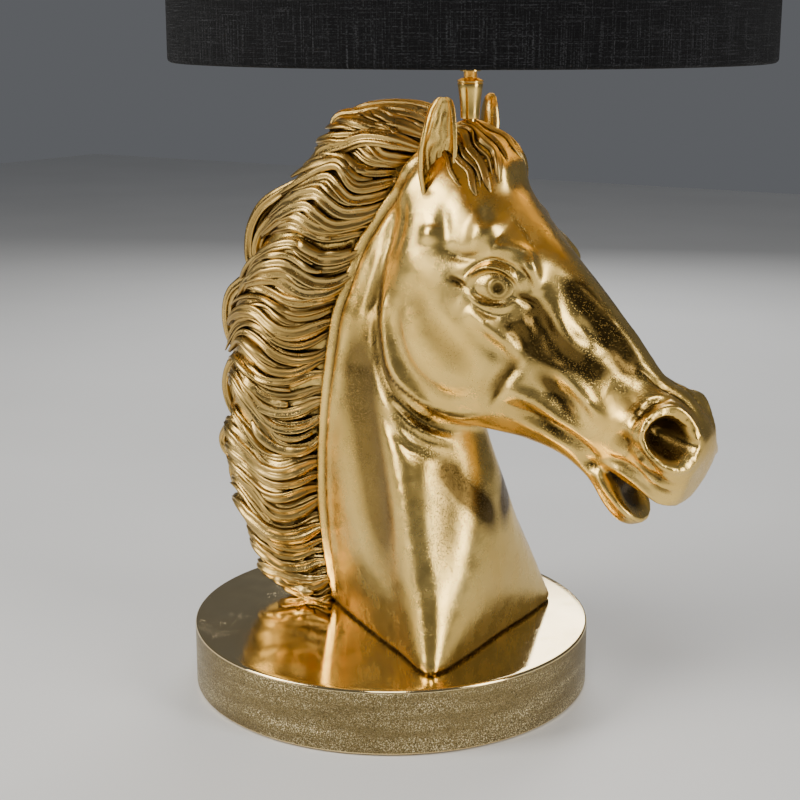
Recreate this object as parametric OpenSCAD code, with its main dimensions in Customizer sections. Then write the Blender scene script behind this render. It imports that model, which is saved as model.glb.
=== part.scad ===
// Table lamp: cast horse head on a round base, with a drum shade on an upright tube.
// Origin at the centre of the underside, +Z up, +X the way the horse faces, all sizes in mm.

/* [Base] */
// Diameter of the round base
base_diameter = 254; // [220:1:300]
// Height of the base, from the table to its polished top
base_height = 41; // [34:1:50]
// Thickness of the base casting's wall
base_wall = 6; // [4:0.5:8]
// Width of the bright bevel round the top edge
base_bevel = 1.6; // [0.8:0.1:3]
// Radius of the cord inlet in the back of the base
inlet_radius = 3.5; // [3:0.25:4.5]

/* [Horse head] */
// Wall thickness of the hollow head casting
head_wall = 4; // [3:0.5:5]
// Depth of the open nostrils
nostril_depth = 9; // [5:1:12]

/* [Tube and collar] */
// Distance of the upright tube ahead of the base's centre
tube_ahead = 55; // [45:1:60]
// Outside radius of the threaded tube
tube_radius = 4; // [4:0.5:5]
// Bore radius of the threaded tube
tube_bore = 2.6; // [2.4:0.1:3.4]
// Height at which the collar stands on the horse's poll
collar_foot = 360; // [358:1:362]

/* [Shade] */
// Diameter of the drum shade
shade_diameter = 350; // [300:5:400]
// Height of the drum shade
shade_height = 220; // [160:5:260]
// Height of the shade's lower edge above the table
shade_bottom = 393; // [391:0.5:396]
// Thickness of the fabric cover
cover_thickness = 1.0; // [0.6:0.1:1.4]
// Thickness of the gold lining
lining_thickness = 0.5; // [0.3:0.1:0.8]

/* [Bulb] */
// Diameter of the bulb's glass
bulb_diameter = 60; // [45:5:65]
// Length of the bulb from its tip contact to the top of the glass
bulb_length = 108; // [100:1:115]

/* [Hidden] */
$fn = 64;
base_r = base_diameter / 2;
rim_foot = 1;
pad_r = base_r - 10;
pad_top = 2.5;
plate_t = 2.5;
plate_top = pad_top + plate_t;
deck = base_height - base_wall;
plate_r = base_r - 9;
screw_circle = base_r - 26;
cover_screw_angles = [30, 150, 270];
mane_inset = 10;
head_screw_x = 60;
head_screw_y = 44;
boss_r = 14;
boss_foot = base_height - 14;
washer_t = 1.5;
nut_t = 5;
tube_foot = 14;
tube_top = 398;
collar_top = 383.4;
seat_foot = 387.4;
seat_top = 389;
cup_top = 405;
shoulder_top = 416;
fitter_t = 1.5;
gap = 0.1;
holder_rim = 440;
holder_r = 19.5;
shell_t = 1.2;
insert_r = 17;
insert_foot = 403;
contact_top = 418.4;
bulb_foot = contact_top + gap;
shade_r = shade_diameter / 2;
shade_top = shade_bottom + shade_height;
wire_r = 1.4;
roll_t = 0.7;
wire_gap = 0.45;
roll_r = wire_r + wire_gap + roll_t;
ring_r = shade_r - roll_r;
arm_start = 29;
inlet_z = 17;
earth_x = 20;
earth_y = -52;
earth_boss_foot = 24;
tag_t = 0.8;
block_screw_at = 11;
block_ways = [-8, 0, 8];
block_ends = [5, 17];
insert_h = 13;
terminal_off = 10;
block_x = -22;
block_z = 24;
core_r = 0.9;
core_off = 1.15;

// ---- lofted skins: every section is half an outline, mirrored about the horse's middle plane ----
function curve(a, b, c, d, t) =
  0.5 * (2 * b + (c - a) * t + (2 * a - 5 * b + 4 * c - d) * t * t + (3 * b - a - 3 * c + d) * t * t * t);
function flip(p) = [p.x, -p.y, p.z];
function held(list, i) = list[max(0, min(len(list) - 1, i))];
function past(list, i) = i < 0 ? flip(list[1]) : i > len(list) - 1 ? flip(list[len(list) - 2]) : list[i];
function section(back, front, half) =
  [for (h = half) [back.x + h[0] * (front.x - back.x), h[1], back.y + h[0] * (front.y - back.y)]];
function rounded(list, n) = concat(
  [for (i = [0:len(list) - 2]) for (k = [0:n - 1]) curve(past(list, i - 1), list[i], list[i + 1], past(list, i + 2), k / n)],
  [list[len(list) - 1]]);
function whole(half) = concat(half, [for (i = [len(half) - 2:-1:1]) flip(half[i])]);
function between(list, n) = concat(
  [for (i = [0:len(list) - 2]) for (k = [0:n - 1]) [for (j = [0:len(list[0]) - 1])
    curve(held(list, i - 1)[j], list[i][j], list[i + 1][j], held(list, i + 2)[j], k / n)]],
  [list[len(list) - 1]]);
function middle(list) = let (m = (list[0] + list[len(list) - 1]) / 2) [m.x, 0, m.z];
function toward(p, c, d) = let (v = c - p) p + v * min(1, d / max(norm(v), 0.01));
function shrunk(list, d) = let (c = middle(list)) [for (p = list) toward(p, c, d)];

module loft(sections, along, around, turned = false) {
  drawn = [for (s = between(sections, along)) whole(rounded(s, around))];
  rings = turned ? [for (r = drawn) [for (i = [len(r) - 1:-1:0]) r[i]]] : drawn;
  n = len(rings[0]);
  last = len(rings) - 1;
  points = [for (r = rings) for (p = r) p];
  walls = [for (i = [0:last - 1]) for (j = [0:n - 1]) let (a = i * n + j, b = i * n + (j + 1) % n)
    each [[a, b, b + n], [a, b + n, a + n]]];
  caps = [[for (j = [n - 1:-1:0]) j], [for (j = [0:n - 1]) last * n + j]];
  polyhedron(points, concat(walls, caps), convexity = 8);
}

// Neck, from its foot on the base up into the poll: crest point, throat point, then half widths.
neck = [
  section([-48, 41], [80, 41], [[0, 0], [0.1, 9], [0.4, 35], [0.7, 59], [0.97, 81], [1.01, 50], [1, 0]]),
  section([-57, 84], [82, 84], [[0, 0], [0.08, 9], [0.35, 31], [0.6, 49], [0.87, 66], [0.98, 38], [1, 0]]),
  section([-60, 138], [76, 136], [[0, 0], [0.08, 10], [0.3, 29], [0.52, 42], [0.76, 51], [0.93, 32], [1, 0]]),
  section([-55, 188], [64, 176], [[0, 0], [0.08, 11], [0.28, 27], [0.5, 36], [0.68, 39], [0.88, 28], [1, 0]]),
  section([-47, 232], [62, 212], [[0, 0], [0.08, 11], [0.25, 23], [0.5, 32], [0.7, 34], [0.9, 26], [1, 0]]),
  section([-33, 270], [64, 246], [[0, 0], [0.1, 11], [0.3, 22], [0.55, 30], [0.75, 31], [0.92, 22], [1, 0]]),
  section([-12, 306], [66, 284], [[0, 0], [0.1, 10], [0.3, 19], [0.55, 26], [0.75, 26], [0.92, 18], [1, 0]]),
  section([10, 334], [66, 318], [[0, 0], [0.1, 9], [0.3, 16], [0.55, 21], [0.75, 20], [0.92, 12], [1, 0]]),
  section([30, 352], [64, 344], [[0, 0], [0.1, 6], [0.3, 11], [0.55, 14], [0.75, 13], [0.92, 8], [1, 0]])
];

// Skull and upper jaw, from the poll to the muzzle: face line, jaw line, then half widths.
face = [
  section([54, 361], [6, 322], [[0, 0], [0.04, 10], [0.25, 17], [0.45, 21], [0.7, 20], [0.94, 9], [1, 0]]),
  section([74, 347], [6, 290], [[0, 0], [0.03, 13], [0.2, 25], [0.42, 30], [0.7, 28], [0.94, 13], [1, 0]]),
  section([91, 321], [4, 256], [[0, 0], [0.03, 18], [0.17, 34], [0.4, 36], [0.68, 36], [0.95, 22], [1, 0]]),
  section([107, 301], [12, 216], [[0, 0], [0.03, 20], [0.12, 38], [0.34, 38], [0.66, 40], [0.94, 29], [1, 0]]),
  section([123, 285], [38, 184], [[0, 0], [0.02, 16], [0.11, 29], [0.32, 36], [0.62, 40], [0.94, 29], [1, 0]]),
  section([142, 265], [76, 177], [[0, 0], [0.02, 11], [0.14, 20], [0.38, 28], [0.66, 33], [0.94, 24], [1, 0]]),
  section([163, 242], [110, 172], [[0, 0], [0.03, 10], [0.2, 18], [0.45, 22], [0.68, 23], [0.93, 16], [1, 0]]),
  section([182, 220], [140, 166], [[0, 0], [0.04, 12], [0.2, 25], [0.42, 27], [0.7, 24], [0.93, 16], [1, 0]]),
  section([199, 210], [164, 155], [[0, 0], [0.05, 18], [0.22, 35], [0.42, 35], [0.7, 25], [0.93, 18], [1, 0]]),
  section([211, 193], [184, 143], [[0, 0], [0.06, 17], [0.25, 31], [0.45, 31], [0.7, 24], [0.93, 17], [1, 0]]),
  section([213, 180], [197, 142], [[0, 0], [0.06, 9], [0.25, 17], [0.45, 17], [0.7, 16], [0.93, 10], [1, 0]])
];

// Lower jaw, from inside the cheek to the hanging lip: upper line, under line, then half widths.
jaw = [
  section([104, 196], [96, 174], [[0, 0], [0.05, 12], [0.3, 18], [0.6, 18], [0.95, 10], [1, 0]]),
  section([134, 182], [122, 167], [[0, 0], [0.05, 11], [0.3, 17], [0.6, 17], [0.95, 9], [1, 0]]),
  section([154, 168], [141, 155], [[0, 0], [0.05, 14], [0.3, 20], [0.6, 19], [0.95, 9], [1, 0]]),
  section([168, 152], [150, 140], [[0, 0], [0.05, 15], [0.3, 20], [0.6, 19], [0.95, 9], [1, 0]]),
  section([177, 138], [158, 128], [[0, 0], [0.05, 12], [0.3, 16], [0.6, 15], [0.95, 7], [1, 0]]),
  section([178, 131], [168, 126], [[0, 0], [0.05, 5], [0.3, 8], [0.6, 8], [0.95, 4], [1, 0]])
];

// Mane, from its foot behind the neck up to the flying top lock: root, outer edge, then half widths.
mane = [
  section([-46, 42], [-76, 43], [[0, 0], [0.1, 7], [0.4, 10], [0.7, 8], [0.95, 3], [1, 0]]),
  section([-52, 66], [-106, 63], [[0, 0], [0.08, 10], [0.4, 17], [0.7, 16], [0.95, 7], [1, 0]]),
  section([-54, 100], [-122, 96], [[0, 0], [0.06, 12], [0.4, 21], [0.7, 20], [0.95, 8], [1, 0]]),
  section([-54, 140], [-128, 136], [[0, 0], [0.06, 13], [0.4, 23], [0.7, 22], [0.95, 9], [1, 0]]),
  section([-50, 182], [-126, 178], [[0, 0], [0.06, 14], [0.4, 24], [0.7, 23], [0.95, 9], [1, 0]]),
  section([-42, 222], [-122, 224], [[0, 0], [0.06, 14], [0.4, 25], [0.7, 24], [0.95, 9], [1, 0]]),
  section([-30, 258], [-106, 266], [[0, 0], [0.06, 14], [0.4, 25], [0.7, 24], [0.95, 9], [1, 0]]),
  section([-12, 290], [-84, 302], [[0, 0], [0.06, 13], [0.4, 24], [0.7, 22], [0.95, 8], [1, 0]]),
  section([6, 320], [-60, 334], [[0, 0], [0.06, 11], [0.4, 21], [0.7, 19], [0.95, 7], [1, 0]]),
  section([24, 342], [-38, 357], [[0, 0], [0.06, 9], [0.4, 15], [0.7, 13], [0.95, 5], [1, 0]]),
  section([40, 352], [-8, 366], [[0, 0], [0.06, 6], [0.4, 9], [0.7, 7], [0.95, 3], [1, 0]])
];

module ball(x, y, z, r) {
  translate([x, y, z])
    sphere(r = r, $fn = 16);
}

module ear(side) {
  difference() {
    union() {
      hull() {
        ball(44, side * 21, 324, 9);
        ball(49, side * 29, 346, 10);
      }
      hull() {
        ball(49, side * 29, 346, 10);
        ball(52, side * 29, 366, 5);
        ball(53, side * 29, 373, 1.5);
      }
    }
    hull() {
      ball(55, side * 36, 336, 4);
      ball(56, side * 38, 348, 5.5);
      ball(56, side * 33, 368, 1.4);
    }
  }
}

module eye(side) {
  hull() {
    ball(85, side * 33, 267, 6);
    ball(94, side * 31, 269, 7);
  }
}

module forelock() {
  hull() {
    ball(54, 11, 350, 8);
    ball(54, -11, 350, 8);
    ball(72, 9, 346, 8);
    ball(72, -9, 346, 8);
  }
  hull() {
    ball(72, 9, 346, 8);
    ball(72, -9, 346, 8);
    ball(81, 10, 334, 8);
    ball(81, -10, 334, 8);
  }
  hull() {
    ball(81, 10, 334, 8);
    ball(81, -10, 334, 8);
    ball(86, 12, 322, 5);
    ball(86, -12, 322, 5);
    ball(74, 22, 320, 5);
    ball(74, -22, 320, 5);
  }
}

module head_outside() {
  loft(neck, 3, 3);
  loft(face, 3, 3);
  loft(jaw, 2, 2);
  loft(mane, 2, 3, turned = true);
  forelock();
  translate([tube_ahead, 0, collar_foot - 12])
    cylinder(r1 = 12, r2 = 7.5, h = 12, $fn = 40);
  for (side = [-1, 1]) {
    ear(side);
    eye(side);
  }
}

module head_hollow() {
  loft([for (i = [0:6]) shrunk(neck[i], head_wall)], 2, 2);
  translate([0, 0, -2])
    loft([for (i = [0:1]) shrunk(neck[i], head_wall)], 1, 2);
  loft([for (i = [1:5]) shrunk(face[i], head_wall + 1)], 2, 2);
  translate([mane_inset, 0, 0])
    loft([for (i = [1:8]) shrunk(mane[i], head_wall + 2)], 1, 2, turned = true);
}

module mouth_and_nostrils() {
  hull() {
    ball(206, 0, 130, 6);
    ball(177, 14, 148, 3);
    ball(177, -14, 148, 3);
    ball(160, 0, 162, 2);
  }
  hull() {
    ball(170, 9, 150, 4);
    ball(170, -9, 150, 4);
    ball(174, 0, 139, 4);
  }
  for (side = [-1, 1])
    hull() {
      ball(200, side * 36, 194, 6);
      ball(203, side * 29, 184, 6);
      ball(200 - nostril_depth, side * 25, 193, 4);
    }
}

module horse_head() {
  color([0.83, 0.64, 0.32])
    difference() {
      head_outside();
      difference() {
        head_hollow();
        for (side = [-1, 1])
          translate([head_screw_x, side * head_screw_y, base_height - 4]) {
            cylinder(r = 8, h = 24, $fn = 32);
            translate([-3, side > 0 ? 0 : -35, 0])
              cube([6, 35, 24]);
          }
      }
      for (side = [-1, 1])
        translate([head_screw_x, side * head_screw_y, base_height - 1])
          cylinder(r = 2.6, h = 19, $fn = 32);
      mouth_and_nostrils();
      translate([tube_ahead, 0, base_height - 1])
        cylinder(r = 9, h = collar_foot - base_height - 9, $fn = 40);
      translate([tube_ahead, 0, base_height])
        cylinder(r = tube_radius + 0.2, h = collar_foot, $fn = 40);
      translate([tube_ahead, 0, collar_foot])
        cylinder(r = 9, h = 12, $fn = 40);
      translate([0, 0, base_height - 20])
        cube([400, 400, 40], center = true);
    }
}

// ---- base ----
module base_casting() {
  color([0.80, 0.62, 0.32])
    difference() {
      union() {
        rotate_extrude($fn = 160)
          polygon([
            [0, deck], [base_r - 9, deck], [base_r - 9, rim_foot], [base_r, rim_foot],
            [base_r, base_height - base_bevel], [base_r - base_bevel, base_height], [0, base_height]
          ]);
        translate([tube_ahead, 0, boss_foot])
          cylinder(r = boss_r, h = base_height - boss_foot - 1);
        for (a = cover_screw_angles)
          rotate(a)
            translate([screw_circle, 0, plate_top])
              cylinder(r = 6, h = deck - plate_top + 1, $fn = 32);
        translate([earth_x, earth_y, earth_boss_foot])
          cylinder(r = 6, h = deck - earth_boss_foot + 1, $fn = 32);
      }
      translate([tube_ahead, 0, 0])
        cylinder(r = tube_radius + 0.2, h = base_height + 10, $fn = 40);
      for (a = cover_screw_angles)
        rotate(a)
          translate([screw_circle, 0, 0])
            cylinder(r = 2.05, h = plate_top + 14, $fn = 32);
      for (side = [-1, 1])
        translate([head_screw_x, side * head_screw_y, 0])
          cylinder(r = 2.8, h = base_height + 10, $fn = 32);
      translate([earth_x, earth_y, 0])
        cylinder(r = 1.75, h = 34, $fn = 32);
      translate([block_x + block_screw_at, 4, deck - 1])
        cylinder(r = 1.5, h = 5, $fn = 24);
      translate([-base_r - 5, 0, inlet_z])
        rotate([0, 90, 0])
          cylinder(r = inlet_radius + 2.2, h = 25, $fn = 40);
    }
}

module cover_plate() {
  color([0.55, 0.56, 0.58])
    difference() {
      translate([0, 0, pad_top])
        cylinder(r = plate_r - 0.3, h = plate_t, $fn = 120);
      for (a = cover_screw_angles)
        rotate(a)
          translate([screw_circle, 0, pad_top]) {
            translate([0, 0, -1])
              cylinder(r = 2.3, h = plate_t + 2, $fn = 32);
            translate([0, 0, -0.01])
              cylinder(r1 = 4.3, r2 = 2.3, h = 2, $fn = 32);
          }
    }
}

module felt_pad() {
  color([0.09, 0.09, 0.10])
    cylinder(r = pad_r, h = pad_top, $fn = 120);
}

module cover_screws() {
  color([0.62, 0.63, 0.65])
    for (a = cover_screw_angles)
      rotate(a)
        translate([screw_circle, 0, pad_top])
          difference() {
            union() {
              cylinder(r1 = 4.2, r2 = 2.0, h = 2.2, $fn = 32);
              cylinder(r = 2.0, h = 14, $fn = 32);
            }
            translate([-0.5, -5, -1])
              cube([1, 10, 1.9]);
          }
}

module head_screws() {
  color([0.62, 0.63, 0.65])
    for (side = [-1, 1])
      translate([head_screw_x, side * head_screw_y, deck])
        difference() {
          union() {
            translate([0, 0, -4])
              cylinder(r = 4.6, h = 4, $fn = 40);
            translate([0, 0, -1])
              cylinder(r = 2.5, h = 22, $fn = 32);
          }
          translate([0, 0, -5])
            cylinder(r = 2.3, h = 3.2, $fn = 6);
        }
}

// ---- tube and its fixings ----
module threaded_tube() {
  color([0.72, 0.60, 0.36])
    translate([tube_ahead, 0, tube_foot])
      difference() {
        cylinder(r = tube_radius, h = tube_top - tube_foot);
        translate([0, 0, -1])
          cylinder(r = tube_bore, h = tube_top - tube_foot + 2);
      }
}

module tube_washer() {
  color([0.62, 0.63, 0.65])
    translate([tube_ahead, 0, boss_foot - washer_t])
      difference() {
        cylinder(r = 10, h = washer_t);
        translate([0, 0, -1])
          cylinder(r = tube_radius + 0.1, h = washer_t + 2);
      }
}

module tube_nuts() {
  color([0.62, 0.63, 0.65])
    for (z = [boss_foot - washer_t - nut_t, seat_top + 2])
      translate([tube_ahead, 0, z])
        difference() {
          cylinder(r = 7.5, h = nut_t, $fn = 6);
          translate([0, 0, -1])
            cylinder(r = tube_radius + 0.05, h = nut_t + 2);
        }
}

module poll_collar() {
  color([0.83, 0.64, 0.32])
    translate([tube_ahead, 0, 0])
      rotate_extrude($fn = 72)
        polygon([
          [tube_radius + 0.05, collar_foot], [5.4, collar_foot], [5.7, collar_foot + 4],
          [6.5, collar_foot + 13], [7.6, collar_foot + 20.2], [7.3, collar_foot + 20.6],
          [7.3, collar_foot + 21], [7.8, collar_foot + 21.3], [7.8, collar_foot + 21.9],
          [5.2, collar_top], [tube_radius + 0.05, collar_top]
        ]);
}

module seat_washer() {
  color([0.83, 0.64, 0.32])
    translate([tube_ahead, 0, seat_foot])
      difference() {
        cylinder(r = 6, h = seat_top - seat_foot);
        translate([0, 0, -1])
          cylinder(r = tube_radius + 0.05, h = 4);
      }
}

// ---- lampholder ----
module holder_cup() {
  color([0.83, 0.64, 0.32])
    translate([tube_ahead, 0, 0])
      rotate_extrude($fn = 96)
        polygon([
          [tube_radius + 0.05, seat_top], [11, seat_top], [15.5, seat_top + 2], [18.3, seat_top + 6],
          [holder_r, seat_top + 11], [holder_r, cup_top], [holder_r - shell_t, cup_top],
          [holder_r - shell_t, insert_foot], [17.3, insert_foot], [17.2, seat_top + 6.8], [14.7, seat_top + 3.4],
          [10.6, seat_top + 2], [tube_radius + 0.05, seat_top + 2]
        ]);
}

module holder_shell() {
  color([0.83, 0.64, 0.32])
    translate([tube_ahead, 0, 0])
      rotate_extrude($fn = 96)
        polygon([
          [holder_r - shell_t, cup_top], [holder_r, cup_top], [holder_r, shoulder_top - 2.2],
          [23.5, shoulder_top - 1.4], [23.5, shoulder_top], [holder_r, shoulder_top],
          [holder_r, holder_rim - 1], [holder_r - 0.6, holder_rim], [holder_r - 2.2, holder_rim],
          [holder_r - 2.2, holder_rim - 1], [holder_r - shell_t, holder_rim - 2]
        ]);
}

module holder_insert() {
  color([0.90, 0.89, 0.85])
    translate([tube_ahead, 0, insert_foot])
      difference() {
        union() {
          cylinder(r = holder_r - shell_t - 0.1, h = 3);
          cylinder(r = insert_r, h = insert_h);
          translate([0, 0, 12])
            rotate_extrude()
              translate([14.6, 0])
                square([insert_r - 14.6, 22]);
        }
        translate([0, 0, -1])
          cylinder(r = 2.2, h = 20, $fn = 32);
        for (side = [-1, 1])
          translate([side * terminal_off, 0, -1])
            cylinder(r = 2.7, h = 9, $fn = 32);
        translate([-3.2, 4, 9])
          cube([6.4, 4, 6]);
      }
}

module screw_shell() {
  color([0.80, 0.70, 0.42])
    translate([tube_ahead, 0, insert_foot + insert_h])
      rotate_extrude()
        polygon([
          [8.5, 0], [14.5, 0], [14.5, 21.5], [13.7, 21.5], [13.7, 0.6], [8.5, 0.6]
        ]);
}

module centre_contact() {
  color([0.84, 0.68, 0.38])
    translate([tube_ahead - 2.5, 0, 0]) {
      translate([0, -4, contact_top - 0.6])
        cube([5, 9.5, 0.6]);
      translate([0, 4.9, insert_foot + 9])
        cube([5, 0.6, contact_top - insert_foot - 9]);
    }
}

module holder_terminals() {
  color([0.84, 0.68, 0.38])
    for (side = [-1, 1])
      translate([tube_ahead + side * terminal_off, 0, insert_foot + 1])
        difference() {
          cylinder(r = 2.6, h = 7, $fn = 32);
          translate([0, 0, -1])
            cylinder(r = core_r + 0.05, h = 5.8, $fn = 32);
        }
}

module shade_ring() {
  color([0.12, 0.12, 0.12])
    translate([tube_ahead, 0, shoulder_top + fitter_t + 2 * gap])
      difference() {
        rotate_extrude($fn = 96)
          polygon([
            [holder_r + 0.1, 0], [26.5, 0], [27, 0.6], [27, 3], [24, 4.4], [23.4, 8], [holder_r + 0.1, 8]
          ]);
        for (a = [0:15:345])
          rotate(a)
            translate([27.6, 0, -1])
              cylinder(r = 1.2, h = 8, $fn = 16);
      }
}

// ---- wiring inside the lamp ----
module core_run(points) {
  for (i = [0:len(points) - 2])
    hull() {
      translate(points[i])
        sphere(r = core_r, $fn = 14);
      translate(points[i + 1])
        sphere(r = core_r, $fn = 14);
    }
}

module live_core() {
  color([0.36, 0.20, 0.10])
    core_run([
      [tube_ahead + 10, 0, 405.2], [tube_ahead + 10, 0, 402.4], [tube_ahead + 9, 0, 401.5],
      [tube_ahead + 3, 0, 401.3], [tube_ahead + core_off, 0, 400], [tube_ahead + core_off, 0, 12],
      [tube_ahead - 1, 0.8, 9.5], [tube_ahead - 8, 2.5, 9.2], [18, 8, 14], [4.5, 8, 26],
      [2, 8, 30], [-3, 8, 30]
    ]);
}

module neutral_core() {
  color([0.12, 0.22, 0.48])
    core_run([
      [tube_ahead - 10, 0, 405.2], [tube_ahead - 10, 0, 402.4], [tube_ahead - 9, 0, 401.5],
      [tube_ahead - 3, 0, 401.3], [tube_ahead - core_off, 0, 400], [tube_ahead - core_off, 0, 12.8],
      [tube_ahead - 4, -1.2, 11.4], [tube_ahead - 9, -2.5, 11.8], [18, -8, 15.5], [4.5, -8, 26],
      [2, -8, 30], [-3, -8, 30]
    ]);
}

module terminal_block() {
  color([0.92, 0.92, 0.90])
    difference() {
      translate([block_x, -14, block_z])
        cube([22, 28, deck - block_z]);
      for (y = block_ways)
        translate([block_x - 1, y, block_z + 6])
          rotate([0, 90, 0])
            cylinder(r = 1.9, h = 24, $fn = 32);
      for (y = block_ways)
        for (x = block_ends)
          translate([block_x + x, y, block_z - 1])
            cylinder(r = 1.7, h = 6, $fn = 32);
      translate([block_x + block_screw_at, 4, block_z - 1])
        cylinder(r = 1.6, h = 20, $fn = 32);
    }
}

module terminal_screws() {
  color([0.62, 0.63, 0.65])
    for (y = block_ways)
      for (x = block_ends)
        translate([block_x + x, y, block_z + 0.4])
          difference() {
            cylinder(r = 1.6, h = 3.6, $fn = 32);
            translate([-3, -0.4, -1])
              cube([6, 0.8, 2]);
          }
}

module block_screw() {
  color([0.62, 0.63, 0.65])
    translate([block_x + block_screw_at, 4, block_z])
      difference() {
        union() {
          translate([0, 0, -2])
            cylinder(r = 2.7, h = 2, $fn = 32);
          translate([0, 0, -1])
            cylinder(r = 1.4, h = deck - block_z + 4.5, $fn = 32);
        }
        translate([-3, -0.35, -3])
          cube([6, 0.7, 2]);
      }
}

module earth_tag() {
  color([0.84, 0.68, 0.38])
    difference() {
      union() {
        translate([earth_x, earth_y, earth_boss_foot - tag_t])
          cylinder(r = 4.5, h = tag_t, $fn = 40);
        translate([earth_x - 9, earth_y - 1.5, earth_boss_foot - tag_t])
          cube([9, 3, tag_t]);
      }
      translate([earth_x, earth_y, earth_boss_foot - 2])
        cylinder(r = 1.9, h = 4, $fn = 32);
    }
}

module earth_screw() {
  color([0.62, 0.63, 0.65])
    translate([earth_x, earth_y, earth_boss_foot - tag_t])
      difference() {
        union() {
          translate([0, 0, -2.4])
            cylinder(r = 3.4, h = 2.4, $fn = 40);
          cylinder(r = 1.7, h = 10, $fn = 32);
        }
        translate([-4, -0.4, -3])
          cube([8, 0.8, 1.6]);
      }
}

module earth_core() {
  color([0.45, 0.62, 0.16])
    core_run([
      [12.6, -52, 22.2], [9, -50, 20], [10, -38, 13], [12, -18, 10], [12, -4, 11], [9, 0, 15],
      [4.5, 0, 26], [2, 0, 30], [-3, 0, 30]
    ]);
}

module inlet_bush() {
  color([0.07, 0.07, 0.07])
    translate([-base_r, 0, inlet_z])
      rotate([0, 90, 0])
        difference() {
          union() {
            translate([0, 0, -1.8])
              cylinder(r = inlet_radius + 4, h = 1.8, $fn = 48);
            translate([0, 0, -1])
              cylinder(r = inlet_radius + 2.1, h = 12.4, $fn = 48);
            translate([0, 0, 9.4])
              cylinder(r = inlet_radius + 3.2, h = 2, $fn = 48);
          }
          translate([0, 0, -3])
            cylinder(r = inlet_radius, h = 18, $fn = 48);
        }
}

// ---- shade ----
module roll(z, open_up) {
  translate([0, z])
    difference() {
      translate([ring_r, 0])
        circle(r = roll_r, $fn = 32);
      translate([ring_r, 0])
        circle(r = wire_r + wire_gap, $fn = 32);
      translate([ring_r - 10, open_up > 0 ? -1.6 : -8.4])
        square([10, 10]);
    }
}

module shade_cover() {
  color([0.05, 0.05, 0.055])
    translate([tube_ahead, 0, 0])
      rotate_extrude($fn = 160) {
        translate([shade_r - cover_thickness, shade_bottom + roll_r])
          square([cover_thickness, shade_height - 2 * roll_r]);
        roll(shade_bottom + roll_r, 1);
        roll(shade_top - roll_r, -1);
      }
}

module shade_lining() {
  color([0.86, 0.68, 0.34])
    translate([tube_ahead, 0, shade_bottom + 2 * roll_r + 0.3])
      difference() {
        cylinder(r = shade_r - cover_thickness - 0.02, h = shade_height - 4 * roll_r - 0.6, $fn = 160);
        translate([0, 0, -1])
          cylinder(r = shade_r - cover_thickness - lining_thickness, h = shade_height, $fn = 160);
      }
}

module shade_top_wire() {
  color([0.90, 0.90, 0.88])
    translate([tube_ahead, 0, shade_top - roll_r])
      rotate_extrude($fn = 160)
        translate([ring_r, 0])
          circle(r = wire_r, $fn = 32);
}

module shade_carrier() {
  drop = shoulder_top + gap + fitter_t / 2 - shade_bottom - roll_r;
  reach = ring_r - arm_start;
  color([0.90, 0.90, 0.88])
    translate([tube_ahead, 0, 0]) {
      translate([0, 0, shade_bottom + roll_r])
        rotate_extrude($fn = 160)
          translate([ring_r, 0])
            circle(r = wire_r, $fn = 32);
      difference() {
        translate([0, 0, shoulder_top + gap])
          cylinder(r = arm_start + 2, h = fitter_t, $fn = 96);
        translate([0, 0, shoulder_top - 1])
          cylinder(r = 20.6, h = 5, $fn = 96);
      }
      for (a = [60, 180, 300])
        rotate(a)
          translate([arm_start, 0, shade_bottom + roll_r + drop])
            rotate([0, 90 + atan2(drop, reach), 0])
              cylinder(r = 1.4, h = norm([reach, drop]), $fn = 24);
    }
}

// ---- bulb ----
module bulb_tip() {
  color([0.75, 0.76, 0.78])
    translate([tube_ahead, 0, bulb_foot])
      cylinder(r1 = 3.4, r2 = 4.6, h = 1.6, $fn = 40);
}

module bulb_insulator() {
  color([0.08, 0.08, 0.09])
    translate([tube_ahead, 0, bulb_foot + 1.6])
      cylinder(r1 = 5, r2 = 11.5, h = 4.4, $fn = 64);
}

module bulb_cap() {
  color([0.78, 0.78, 0.80])
    translate([tube_ahead, 0, bulb_foot + 6])
      rotate_extrude()
        polygon([
          [0, 0], [11.5, 0], [13.1, 1.4], [13.1, 19.5], [14.2, 21.5], [14.2, 23.5], [12.6, 23.5],
          [12.2, 21.5], [12.2, 2.2], [0, 2.2]
        ]);
}

module glass_outline(inset) {
  r = bulb_diameter / 2 - inset;
  centre = bulb_length - bulb_diameter / 2;
  neck_r = 13.4 - inset;
  polygon(concat(
    [[0, 29.5], [neck_r, 29.5], [neck_r, 34], [neck_r + 1.2, 42], [neck_r + 4.5, 52]],
    [for (a = [-34:4:90]) [r * cos(a), centre + r * sin(a)]]));
}

module bulb_glass() {
  color([0.96, 0.95, 0.92, 0.5])
    translate([tube_ahead, 0, bulb_foot])
      rotate_extrude($fn = 96)
        difference() {
          glass_outline(0);
          translate([0, -1])
            glass_outline(0.9);
        }
}

module bulb_stem() {
  color([0.93, 0.94, 0.92, 0.6])
    translate([tube_ahead, 0, bulb_foot])
      rotate_extrude()
        polygon([
          [0, 29.6], [12.4, 29.6], [12.4, 30.4], [9, 35], [4.2, 42], [2.8, 50], [2.2, 64], [2.2, 78], [0, 79]
        ]);
}

module bulb_filaments() {
  color([0.95, 0.80, 0.35])
    translate([tube_ahead, 0, bulb_foot]) {
      for (a = [45:90:315])
        rotate(a)
          translate([6, 0, 52])
            rotate([0, 9, 0])
              cylinder(r = 0.9, h = 32, $fn = 20);
      translate([0, 0, 51.4])
        difference() {
          cylinder(r = 7.2, h = 1);
          translate([0, 0, -1])
            cylinder(r = 3, h = 3);
        }
    }
}

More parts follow.
